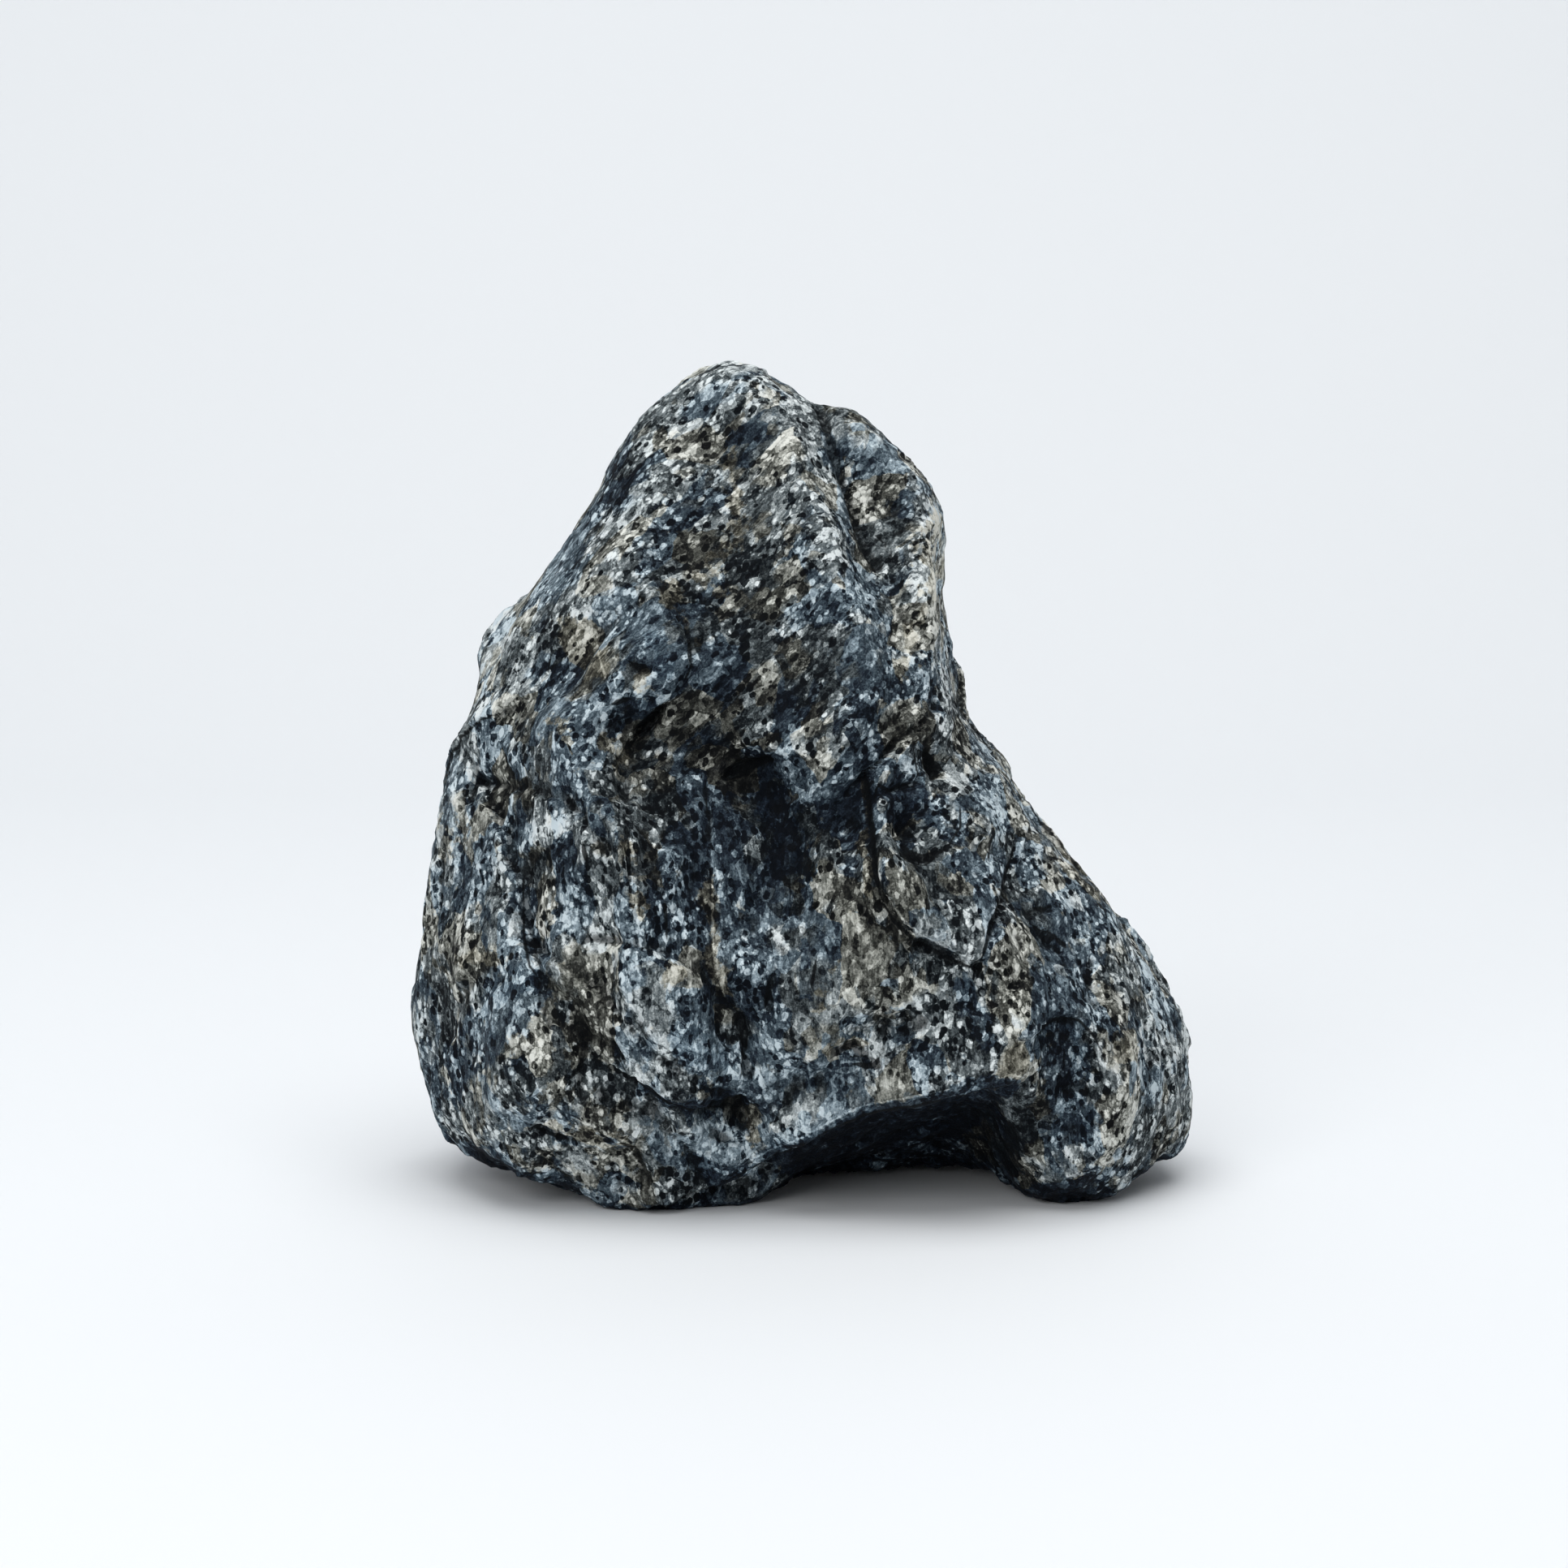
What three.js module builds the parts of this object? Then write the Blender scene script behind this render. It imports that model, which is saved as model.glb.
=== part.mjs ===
// A rough piece of labradorite, in millimetres: +Z up, +X to the right, the best face towards -Y.
//
// The stone is one solid. It starts as a ball whose rim is pulled out to the stone's outline and
// whose two sides are pulled out to its front and back profiles. Then it is worked as a stone is:
// broken along planes, undercut below, dented or raised along strokes, and chipped all over.

import * as THREE from "three";
import { mergeVertices } from "three/addons/utils/BufferGeometryUtils.js";

// Driving dimensions
const EDGE_SPLITS = 21; // each edge of the starting icosahedron is cut into one more part than this
const HEART = new THREE.Vector3(-1, 0, 29); // the point that every break is measured from
const SLIDE = 0.5; // how far a point goes to the middle of its neighbours in one round
const STONE_COLOUR = 0x3f464c;

// The rim, where front and back meet, seen from the front and going clockwise from the peak: x, y, z
const RIM = [
  [-6.7, 2, 67.1],
  [-3.3, 2, 65.6],
  [-1.0, 1, 64.4],
  [0.7, 1, 63.7],
  [2.0, 1, 63.4],
  [3.3, 2, 63.0],
  [4.8, 2, 61.9],
  [7.2, 2, 59.8],
  [9.9, 2, 57.3],
  [10.8, 1, 54.8],
  [10.8, 1, 51.8],
  [10.8, 1, 47.4],
  [11.6, 1, 42.7],
  [13.0, 1, 38.0],
  [16.2, 0, 34.2],
  [18.0, 0, 30.3],
  [21.3, 0, 26.3],
  [24.8, -1, 22.0],
  [29.2, -2, 16.8],
  [30.9, -3, 13.0],
  [31.4, -4, 9.0],
  [31.4, -5, 5.6],
  [31.0, -7, 2.9],
  [28.4, -9, 0.8],
  [21.5, -9, -2.5],
  [6, -8, -4.5],
  [-9.5, -8, -4],
  [-16.5, -9, -2],
  [-24.6, -8, 1.1],
  [-29.4, -6, 3.3],
  [-31.1, -4, 7.2],
  [-33.1, -1, 12.6],
  [-32.8, 0, 17.4],
  [-31.3, 1, 22.5],
  [-30.3, 1, 30.0],
  [-29.0, 1, 36.2],
  [-28.0, 1, 40.6],
  [-27.9, 1, 43.7],
  [-22.2, 1, 48.8],
  [-17.9, 1, 54.7],
  [-14.2, 1, 61.2],
  [-10.6, 2, 65.2],
];

// How far the front and the back stand out at the middle of the stone, at heights z: z, y
const FRONT_PROFILE = [
  [-2, -16],
  [6, -20],
  [16, -21],
  [28, -19],
  [40, -16],
  [52, -12],
  [62, -8],
  [68, -4],
];
const BACK_PROFILE = [
  [-2, 15],
  [6, 19],
  [18, 21],
  [32, 20],
  [46, 16],
  [58, 12],
  [68, 7],
];
const FRONT_FULLNESS = 3; // 2 is a round cap, more is flatter with a tighter rim
const BACK_FULLNESS = 2.8;

// Flat breaks, where pieces have split off: which way each one faces, and a point on it
const BREAKS = [
  { facing: [-0.86, -0.5, 0.12], through: [-25.5, -12, 27] }, // left flank
  { facing: [-0.62, -0.5, -0.6], through: [-23.6, -13.8, 2.6] }, // lower left, lifted off the ground
  { facing: [0.83, -0.52, -0.18], through: [28.2, -12.5, 8] }, // right foot
  { facing: [0.7, -0.58, 0.42], through: [17.6, -12, 29] }, // right slope
  { facing: [-0.76, -0.5, 0.42], through: [-17.5, -5.5, 52] }, // upper left slope
  { facing: [0.25, 0.92, 0.3], through: [6, 16, 40] }, // upper back
  { facing: [-0.62, 0.77, 0.14], through: [-21, 12.5, 26] }, // back left
  { facing: [0.7, 0.66, 0.28], through: [20, 12.5, 19] }, // back right
  { facing: [0.1, 0.93, -0.35], through: [2, 18.8, 8] }, // foot of the back
  { facing: [0, 0, -1], through: [0, 0, 0.9] }, // underside
];
const BREAK_ROUNDING = 2.5;

// The hollow under the front: a slanting ceiling, and the wall of the right foot
const HOLLOW_CENTRE = new THREE.Vector3(8, 8, 30); // a point inside the stone that both are seen from
const CEILING = { facing: [0.29, -0.45, -0.84], through: [2.6, -5.5, 0.9] };
const FOOT_WALL = { facing: [-0.71, -0.52, -0.47], through: [19.6, -15, 1.3] };
const HOLLOW_ROUNDING = 1;

// The forms worked into each side. Those of the front and back are placed by x and z, those of the
// left and right by y and z, those of the top and underside by x and y.
const FORMS = {
  front: [
    // The nose, a ridge that comes down from the peak, and the cleft on its right
    swell([[-5, 66], [-1.2, 62.5], [1.2, 57.3], [2.8, 51], [3.8, 45], [2.6, 40]], 5.6, 1.8),
    swell([[0.7, 64.8], [2, 59.8], [4.3, 54.2], [6.2, 49.8], [7.4, 45]], 2.8, -2.4),
    // The shoulder on the right of the cleft, its dimple and the crest below
    swell([[6.4, 61], [9.4, 56], [10, 51]], 4, 1.6),
    swell([[5.4, 58.6], [6.6, 54.6]], 2.8, -1.9),
    swell([[10.2, 52.4], [9, 48.2], [9.6, 43]], 2.8, 0.9),
    // The broad valley down the upper face
    swell([[-8.5, 60], [-7, 52], [-5, 45], [-4.2, 39]], 8, -1.9),
    // The low knob on the left, its steep right side, its pit and the gash below
    swell([[-17, 48.5], [-14, 44.5]], 7, 1.5),
    ledge([[-13.2, 38.8], [-10, 41.6], [-9.6, 45.8], [-12.4, 52]], 6, 1.4),
    swell([[-13.5, 44.2]], 1.8, -0.5),
    swell([[-9.6, 42.4], [-13, 38.6]], 1.7, -0.9),
    // The left flank: its crest, which drops to the central hollow, and a long crease
    swell([[-20, 38.5], [-18.6, 34], [-17.6, 29]], 4.6, 2.2),
    ledge([[-13.2, 24], [-14.2, 29.5], [-15.4, 35], [-14.8, 39]], 4, 1.6),
    swell([[-26.8, 34.5], [-24.6, 31], [-23.2, 26], [-22.2, 21.6]], 2.2, -1.7),
    swell([[-28.4, 28], [-27.4, 21]], 4, 0.9),
    // The deep central hollow and the lip over it
    swell([[-12.8, 36.8], [-6, 35], [-1.6, 31.4], [-0.4, 26.6]], 7, -3.2),
    swell([[-8, 35.4], [-4.5, 34.6], [-1.6, 30.8]], 3.8, -1.2),
    ledge([[-14, 38.4], [-10, 38.2], [-6.5, 37.2], [-3, 37.4], [1, 38.8]], 6, 1),
    // Ribs that run down out of the hollow
    swell([[-14.4, 32.4], [-13.8, 26], [-12.9, 20]], 1.9, 1.5),
    swell([[-10.6, 28.5], [-10.2, 20]], 1.7, 1.3),
    swell([[-7.6, 27.5], [-6.6, 18.4]], 1.6, 1.1),
    swell([[1.3, 28.7], [-1.8, 24], [-5, 19.8]], 1.8, 1),
    swell([[-6.2, 18.4], [-5.2, 13]], 2.6, -1.9),
    // The swellings on both sides of the ribs
    swell([[-13.5, 23], [-12, 17.5]], 5.5, 1.2),
    swell([[3.4, 27.5], [3.4, 21], [1, 15.5]], 5, 1.5),
    // The lower lobe and the crease along its foot
    swell([[-13.6, 18], [-8.8, 13.7]], 4.4, 0.9),
    ledge([[-22, 22.3], [-19.4, 19.2], [-17.5, 15.9], [-14.4, 12.7], [-10.7, 10.9], [-5.6, 10]], 5, 1.6),
    swell([[-21.6, 20.6], [-18.6, 16.2], [-15, 12], [-10.7, 9.8]], 1.9, -1.1),
    // The lower left bulge with its brow, and the tongue below it
    swell([[-26.4, 15.5], [-22.6, 11.5]], 5.5, 1.5),
    swell([[-28.6, 19.4], [-25.6, 21.4], [-22.6, 20.8]], 2.3, 1.1),
    ledge([[-12.6, 6.4], [-15.4, 8.4], [-20.4, 9.2]], 5, 1.6),
    swell([[-7.6, 9.6], [-4.8, 7.4], [-3.2, 5.4]], 2.4, -1.9),
    // The band along the edge of the undercut, with a groove and a pocket above it
    swell([[-6.1, 4.8], [1, 8.6], [6.7, 11.6], [11.8, 13.4], [15.6, 14.4]], 3, 1.4),
    swell([[-2.4, 10.6], [4, 14], [9.5, 16]], 2, -1),
    swell([[4.4, 15.6], [7.6, 16.4]], 2.4, -1.5),
    // The raised plate on the right, its crack, its knob with the undercut below, and its far edge
    ledge([[4.8, 35.4], [4.9, 29.6], [6.6, 25.5], [11.2, 22.7], [14, 21]], 7, 1.6),
    swell([[3.8, 35], [4, 29.6], [5.8, 24.8], [10.6, 21.8]], 2, -1.2),
    swell([[8.2, 33], [11, 31.3]], 4.5, 0.9),
    ledge([[6.2, 30.6], [7.9, 29.5], [9.9, 29.3], [12.2, 30.4]], 4, 0.8),
    swell([[17.4, 31], [16, 27.6], [14.4, 24.6], [12.6, 22]], 2, -0.9),
    swell([[9, 37.4], [10.2, 35.6]], 2, -0.8),
    // The right slope: two pits and a low swelling
    swell([[19.2, 22.4]], 2, -0.5),
    swell([[18.4, 25.2]], 1.8, -0.4),
    swell([[23.5, 20.5]], 4, 0.9),
    // The right foot: a dished facet under a brow, and the crest down its outer edge
    swell([[19.4, 14.2], [20.6, 10.4], [21, 7]], 3.8, -1.9),
    ledge([[14.4, 14], [16.7, 16.2], [19.1, 17.1], [21.5, 15.8], [22.6, 13.2]], 4, 1.5),
    swell([[25.4, 16], [25.2, 11], [23.4, 4.5]], 2.8, 1.9),
  ],
  back: [
    // A long ledge that runs down across the back, and the scoop above it
    ledge([[22, 30], [10, 34], [-4, 30], [-16, 19], [-24, 12]], 14, 1.8),
    swell([[2, 48], [-6, 40]], 9, -1.8),
    swell([[-12, 56], [-15, 48], [-20, 40]], 4, 1.2),
    swell([[6, 58], [4, 50], [8, 40]], 4, 1.1),
    swell([[-10, 22], [-2, 14]], 6, 1.3),
    swell([[12, 22], [16, 10]], 6, -1.8),
    swell([[6, 26], [8, 12], [7, 5]], 2.6, 1.2),
    swell([[-18, 28], [-13, 24]], 3, -1.1),
    swell([[-22, 12], [-14, 7]], 5, -1.3),
  ],
  left: [
    swell([[4, 38], [6, 26], [4, 16]], 6, -1.9),
    swell([[-4, 44], [-5, 34], [-4, 24]], 3, 0.7),
    ledge([[12, 10], [9, 22], [10, 34]], 7, -1.5),
    swell([[0, 11], [8, 8]], 4, -1.2),
  ],
  right: [
    swell([[-2, 50], [0, 42], [2, 34]], 3.2, -1.4),
    swell([[7, 54], [8, 44], [12, 32]], 4, 1.1),
    ledge([[-4, 22], [4, 20], [14, 24]], 8, -1.5),
    swell([[6, 14], [12, 8]], 5, -1.6),
    swell([[6, 5], [10, 4]], 3, 0.8),
  ],
  top: [
    // The cleft goes on over the top
    swell([[0.9, -6], [0.7, 0], [2, 6]], 2.2, -0.6),
  ],
  under: [
    // Three places that bear on the ground
    swell([[-14, -12.5], [-9.5, -13], [-6, -11]], 6, 2.2),
    swell([[18.4, -11.5], [22.6, -11.5], [20.5, -5]], 5, 2.2),
    swell([[-14, 9], [-6, 12.5], [2, 13], [10, 9.5]], 5.5, 2.2),
    // The rough hollows between them
    swell([[-18, -2], [-8, 0]], 5, -1.5),
    swell([[18, 6], [22, 4]], 4, -1.2),
  ],
};
const LEDGE_DROP = 1.5; // how wide the steep side of a ledge is

// The chips of the broken surface. Each is a flat of its own, that stands out or in a little and tilts.
// They are drawn out along the rock's grain, which is upright below and leans to the right above.
const CHIPS = 750;
const CHIP_SPACE = { middle: [0, 0, 34], reach: [36, 27, 36] }; // the box that the chips fill, mm
const CHIP_STEP = 0.7; // mm, how far a chip stands out or in at most
const CHIP_TILT = 0.22; // mm per mm
const CHIP_STRETCH = 1.7;
const CHIP_CRISPNESS = 0.16; // the more, the narrower the steps between chips
const RIM_WEAR = 0.6; // the share of the chips' height that is worn off at the rim
const LEAN_BELOW = 0.1; // radians from upright
const LEAN_ABOVE = 0.75;
const LEAN_CHANGES = [27, 37]; // heights between which the grain goes from one lean to the other
const CHIP_SEED = 5;

// A smooth line through a few points of a flat view.
function smoothLine(points) {
  if (points.length < 3) return points;
  const curve = new THREE.CatmullRomCurve3(points.map(([a, b]) => new THREE.Vector3(a, b, 0)));
  return curve.getPoints(points.length * 4).map((p) => [p.x, p.y]);
}

// A swelling along a line, fading out over its width. With a negative rise it is a hollow.
function swell(points, width, rise) {
  return { line: smoothLine(points), width, rise, steep: false };
}

// A step along a line: full height at the line, fading out over its width to the left of the line's
// run, and dropping off steeply on its right.
function ledge(points, width, rise) {
  return { line: smoothLine(points), width, rise, steep: true };
}

const clamp01 = (t) => Math.min(1, Math.max(0, t));
const smoothStep = (from, to, t) => {
  const k = clamp01((t - from) / (to - from));
  return k * k * (3 - 2 * k);
};

// The smaller of two numbers, rounded off where they come within soft of each other.
function softMin(a, b, soft) {
  const k = Math.max(0, soft - Math.abs(a - b)) / soft;
  return Math.min(a, b) - (k * k * soft) / 4;
}
const softMax = (a, b, soft) => -softMin(-a, -b, soft);

// A height read off a profile, by a smooth curve through its points.
function readProfile(profile, at) {
  const last = profile.length - 1;
  let i = 0;
  while (i < last - 1 && at > profile[i + 1][0]) i++;
  const [z0, y0] = profile[i];
  const [z1, y1] = profile[i + 1];
  const before = profile[Math.max(0, i - 1)];
  const after = profile[Math.min(last, i + 2)];
  const slope0 = (y1 - before[1]) / (z1 - before[0]);
  const slope1 = (after[1] - y0) / (after[0] - z0);
  const h = z1 - z0;
  const t = clamp01((at - z0) / h);
  const t2 = t * t;
  const t3 = t2 * t;
  return (
    (2 * t3 - 3 * t2 + 1) * y0 +
    (t3 - 2 * t2 + t) * h * slope0 +
    (3 * t2 - 2 * t3) * y1 +
    (t3 - t2) * h * slope1
  );
}

// The rim as a function of the angle around the heart, as seen from the front.
const rimCurve = new THREE.CatmullRomCurve3(
  RIM.map(([x, y, z]) => new THREE.Vector3(x, y, z)),
  true,
  "centripetal",
);
const rimSamples = rimCurve
  .getPoints(1200)
  .slice(0, -1)
  .map((p) => ({ p, angle: Math.atan2(p.z - HEART.z, p.x - HEART.x) }))
  .sort((a, b) => a.angle - b.angle);

function rimAt(angle) {
  let low = 0;
  let high = rimSamples.length;
  while (low < high) {
    const middle = (low + high) >> 1;
    if (rimSamples[middle].angle < angle) low = middle + 1;
    else high = middle;
  }
  const n = rimSamples.length;
  const b = rimSamples[low % n];
  const a = rimSamples[(low + n - 1) % n];
  const turn = 2 * Math.PI;
  const span = (b.angle - a.angle + turn) % turn;
  const t = span > 0 ? ((angle - a.angle + turn) % turn) / span : 0;
  return a.p.clone().lerp(b.p, t);
}

// A point of the unit ball carried to the uncut stone.
function blank(u) {
  const out = Math.min(1, Math.hypot(u.x, u.z));
  const rim = rimAt(Math.atan2(u.z, u.x));
  const p = new THREE.Vector3(
    HEART.x + out * (rim.x - HEART.x),
    0,
    HEART.z + out * (rim.z - HEART.z),
  );
  const rimY = HEART.y + (rim.y - HEART.y) * smoothStep(0.3, 1, out);
  const front = u.y < 0;
  const fullness = front ? FRONT_FULLNESS : BACK_FULLNESS;
  const cap = (1 - out ** fullness) ** (1 / fullness);
  const reach = readProfile(front ? FRONT_PROFILE : BACK_PROFILE, p.z);
  p.y = rimY + (reach - rimY) * cap;
  return p;
}

// Where a point lies beside a line: how far off, on which side, and how far from the line's ends.
function besideLine(line, a, b) {
  let best = { gap: Infinity, side: 1, toStart: 0, toEnd: 0 };
  let passed = 0;
  for (let i = 0; i < Math.max(1, line.length - 1); i++) {
    const [a0, b0] = line[i];
    const [a1, b1] = line[Math.min(i + 1, line.length - 1)];
    const da = a1 - a0;
    const db = b1 - b0;
    const length = Math.hypot(da, db);
    const t = length > 0 ? clamp01(((a - a0) * da + (b - b0) * db) / (length * length)) : 0;
    const gap = Math.hypot(a - a0 - t * da, b - b0 - t * db);
    if (gap < best.gap) {
      best = { gap, side: Math.sign(da * (b - b0) - db * (a - a0)), toStart: passed + t * length };
    }
    passed += length;
  }
  best.toEnd = passed - best.toStart;
  return best;
}

// How far a form lifts the surface at a point of its view.
function lift(form, a, b) {
  const { gap, side, toStart, toEnd } = besideLine(form.line, a, b);
  if (gap >= form.width) return 0;
  const fade = 1 - gap / form.width;
  if (!form.steep) return form.rise * (1 - (1 - fade) ** 2) ** 2;
  const ends = smoothStep(0, form.width / 2, Math.min(toStart, toEnd));
  const drop = side > 0 ? fade * fade : clamp01(1 - gap / LEDGE_DROP);
  return form.rise * ends * drop;
}

// The six sides: the way each one faces, and how a point is placed in its view.
const SIDES = {
  front: { out: new THREE.Vector3(0, -1, 0), place: (p) => [p.x, p.z] },
  back: { out: new THREE.Vector3(0, 1, 0), place: (p) => [p.x, p.z] },
  left: { out: new THREE.Vector3(-1, 0, 0), place: (p) => [p.y, p.z] },
  right: { out: new THREE.Vector3(1, 0, 0), place: (p) => [p.y, p.z] },
  top: { out: new THREE.Vector3(0, 0, 1), place: (p) => [p.x, p.y] },
  under: { out: new THREE.Vector3(0, 0, -1), place: (p) => [p.x, p.y] },
};
const GLANCING = 0.1; // a form starts to show on surface turned this much towards its side,
const SQUARE_ON = 0.4; // and has its full height from here

// How far the surface moves at a point, by all the forms of the sides that it faces.
function worked(p, normal) {
  const move = new THREE.Vector3();
  for (const [name, forms] of Object.entries(FORMS)) {
    const { out, place } = SIDES[name];
    const facing = smoothStep(GLANCING, SQUARE_ON, normal.dot(out));
    if (facing === 0) continue;
    const [a, b] = place(p);
    const rise = forms.reduce((sum, form) => sum + lift(form, a, b), 0);
    move.addScaledVector(out, rise * facing);
  }
  return move;
}

// How far it is from a centre, in a direction, to a flat face. Past all reach where it turns away.
function reachOfFace(face, centre, direction) {
  const facing = new THREE.Vector3(...face.facing);
  const along = facing.dot(direction);
  if (along <= 0) return Infinity;
  return facing.dot(new THREE.Vector3(...face.through).sub(centre)) / along;
}

// The point is brought in to the flat breaks.
function broken(p) {
  const direction = p.clone().sub(HEART);
  let reach = direction.length();
  direction.normalize();
  for (const face of BREAKS) {
    const limit = reachOfFace(face, HEART, direction);
    if (limit < Infinity) reach = softMin(reach, limit, BREAK_ROUNDING);
  }
  return direction.multiplyScalar(reach).add(HEART);
}

// The point is brought in to the hollow under the front.
function undercut(p) {
  const direction = p.clone().sub(HOLLOW_CENTRE);
  const reach = direction.length();
  direction.normalize();
  const ceiling = reachOfFace(CEILING, HOLLOW_CENTRE, direction);
  const wall = reachOfFace(FOOT_WALL, HOLLOW_CENTRE, direction);
  if (ceiling === Infinity || wall === Infinity) return p;
  const limit = softMax(ceiling, wall, HOLLOW_ROUNDING);
  return direction.multiplyScalar(softMin(reach, limit, HOLLOW_ROUNDING / 2)).add(HOLLOW_CENTRE);
}

// Random numbers that are the same in every run, for the chips.
function seeded(seed) {
  let state = seed;
  return () => {
    state = (state * 16807) % 2147483647;
    return state / 2147483647;
  };
}
const random = seeded(CHIP_SEED);
const spread = (reach) => reach * (2 * random() - 1);
const chips = Array.from({ length: CHIPS }, () => ({
  middle: new THREE.Vector3(...CHIP_SPACE.middle.map((m, i) => m + spread(CHIP_SPACE.reach[i]))),
  tilt: new THREE.Vector3(spread(CHIP_TILT), spread(CHIP_TILT), spread(CHIP_TILT)),
  step: spread(CHIP_STEP),
}));

// How far the chips lift the surface at a point.
function chipped(p, normal) {
  const lean = LEAN_BELOW + (LEAN_ABOVE - LEAN_BELOW) * smoothStep(...LEAN_CHANGES, p.z);
  const grain = new THREE.Vector3(Math.sin(lean), 0, Math.cos(lean));
  const near = chips.map(({ middle, tilt, step }) => {
    const away = p.clone().sub(middle);
    const along = away.dot(grain);
    const gap2 = away.lengthSq() - along * along * (1 - 1 / CHIP_STRETCH ** 2);
    return { gap2, height: step + tilt.dot(away) };
  });
  const least = Math.min(...near.map(({ gap2 }) => gap2));
  let total = 0;
  let weights = 0;
  for (const { gap2, height } of near) {
    const weight = Math.exp(CHIP_CRISPNESS * (least - gap2));
    total += weight * height;
    weights += weight;
  }
  return (total / weights) * (1 - RIM_WEAR * (1 - Math.abs(normal.y)));
}

// Moves every point of a surface by a rule that gets the point and the surface's normal there.
function reshape(geometry, rule) {
  const position = geometry.getAttribute("position");
  const normal = geometry.getAttribute("normal");
  const p = new THREE.Vector3();
  const n = new THREE.Vector3();
  for (let i = 0; i < position.count; i++) {
    p.fromBufferAttribute(position, i);
    if (normal) n.fromBufferAttribute(normal, i);
    const q = rule(p, n);
    position.setXYZ(i, q.x, q.y, q.z);
  }
  geometry.computeVertexNormals();
}

// Slides every point along the surface towards the middle of its neighbours, so that the triangles
// come out more even where a form has stretched them.
function evenOut(geometry, rounds) {
  const position = geometry.getAttribute("position");
  const corners = geometry.getIndex().array;
  const neighbours = Array.from({ length: position.count }, () => new Set());
  for (let i = 0; i < corners.length; i++) {
    const next = i % 3 === 2 ? i - 2 : i + 1;
    neighbours[corners[i]].add(corners[next]);
    neighbours[corners[next]].add(corners[i]);
  }
  const q = new THREE.Vector3();
  for (let round = 0; round < rounds; round++) {
    const middles = neighbours.map((around) => {
      const sum = new THREE.Vector3();
      for (const j of around) sum.add(q.fromBufferAttribute(position, j));
      return sum.divideScalar(around.size);
    });
    let i = 0;
    reshape(geometry, (p, n) => {
      const slide = middles[i++].sub(p);
      return p.clone().add(slide.addScaledVector(n, -slide.dot(n)).multiplyScalar(SLIDE));
    });
  }
}

function stoneGeometry() {
  const ball = new THREE.IcosahedronGeometry(1, EDGE_SPLITS);
  ball.deleteAttribute("normal");
  ball.deleteAttribute("uv");
  const geometry = mergeVertices(ball, 1e-4);
  reshape(geometry, (p) => undercut(broken(blank(p.normalize()))));
  evenOut(geometry, 6);
  reshape(geometry, (p, n) => p.clone().add(worked(p, n)));
  evenOut(geometry, 8);
  reshape(geometry, (p, n) => p.clone().addScaledVector(n, chipped(p, n)));
  reshape(geometry, (p) => p.setZ(Math.max(0, p.z))); // worn flat where it touches the ground
  geometry.computeBoundingBox();
  const middle = geometry.boundingBox.getCenter(new THREE.Vector3());
  return geometry.translate(-middle.x, -middle.y, 0); // the origin is under the middle of the stone
}

const stone = new THREE.Mesh(
  stoneGeometry(),
  new THREE.MeshStandardMaterial({ color: STONE_COLOUR, roughness: 0.6, metalness: 0 }),
);
stone.name = "labradorite_stone";

const part = new THREE.Group();
part.add(stone);

export default part;
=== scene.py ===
# %% [markdown]
# # A rough piece of labradorite
#
# The object is one natural stone, about 67 mm tall: a blunt wedge with a rounded peak, a cleft beside
# it, a deep hollow in the middle of its face and a raised front edge. Labradorite is a feldspar. A rough
# piece of it isn't the smooth blue gem: it is a dark rock, speckled with pale and tan grains, that
# breaks in small steps.
#
# There are three steps: the camera and the light, the shape, and the rock's own colours.

# %% The fixed frame
import math
import bpy
import numpy as np
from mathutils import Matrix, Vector, noise


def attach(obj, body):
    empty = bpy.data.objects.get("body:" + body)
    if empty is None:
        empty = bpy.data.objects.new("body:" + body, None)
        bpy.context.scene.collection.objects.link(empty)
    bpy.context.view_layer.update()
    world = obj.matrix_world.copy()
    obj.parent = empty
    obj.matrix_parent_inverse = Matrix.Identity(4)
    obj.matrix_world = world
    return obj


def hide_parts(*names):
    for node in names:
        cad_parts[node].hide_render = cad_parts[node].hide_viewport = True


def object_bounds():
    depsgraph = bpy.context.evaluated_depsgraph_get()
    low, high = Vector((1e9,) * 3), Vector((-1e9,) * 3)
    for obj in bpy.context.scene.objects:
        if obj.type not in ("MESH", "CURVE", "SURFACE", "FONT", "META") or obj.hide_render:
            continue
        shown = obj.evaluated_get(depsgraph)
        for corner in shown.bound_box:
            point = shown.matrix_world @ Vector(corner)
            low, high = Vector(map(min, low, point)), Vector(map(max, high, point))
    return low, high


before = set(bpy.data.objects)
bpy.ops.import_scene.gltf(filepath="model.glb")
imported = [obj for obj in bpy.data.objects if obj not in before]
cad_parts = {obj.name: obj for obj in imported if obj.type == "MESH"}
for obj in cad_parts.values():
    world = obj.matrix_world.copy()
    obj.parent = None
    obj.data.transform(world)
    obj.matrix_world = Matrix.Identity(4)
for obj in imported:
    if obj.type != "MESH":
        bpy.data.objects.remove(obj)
cad_low, cad_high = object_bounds()
MM = 0.001


def in_millimetres(corner):
    return [round(v / MM, 1) for v in corner]


print("frame:", list(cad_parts), "from", in_millimetres(cad_low), "to", in_millimetres(cad_high))

# %% [markdown]
# ## Camera
#
# A stone this small is photographed with a long lens, from a little above. A short lens close by would
# show the same outline, but it would swell the middle of the face. A 100 mm lens at 36 cm keeps the
# proportions calm, and a look down of 8 degrees shows some of the table in front of the stone.

# %% Camera
LOOK_DOWN = math.radians(8)
CAMERA_REACH = 0.359
AIM = Vector((-0.0014, 0, 0.0323))

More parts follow.
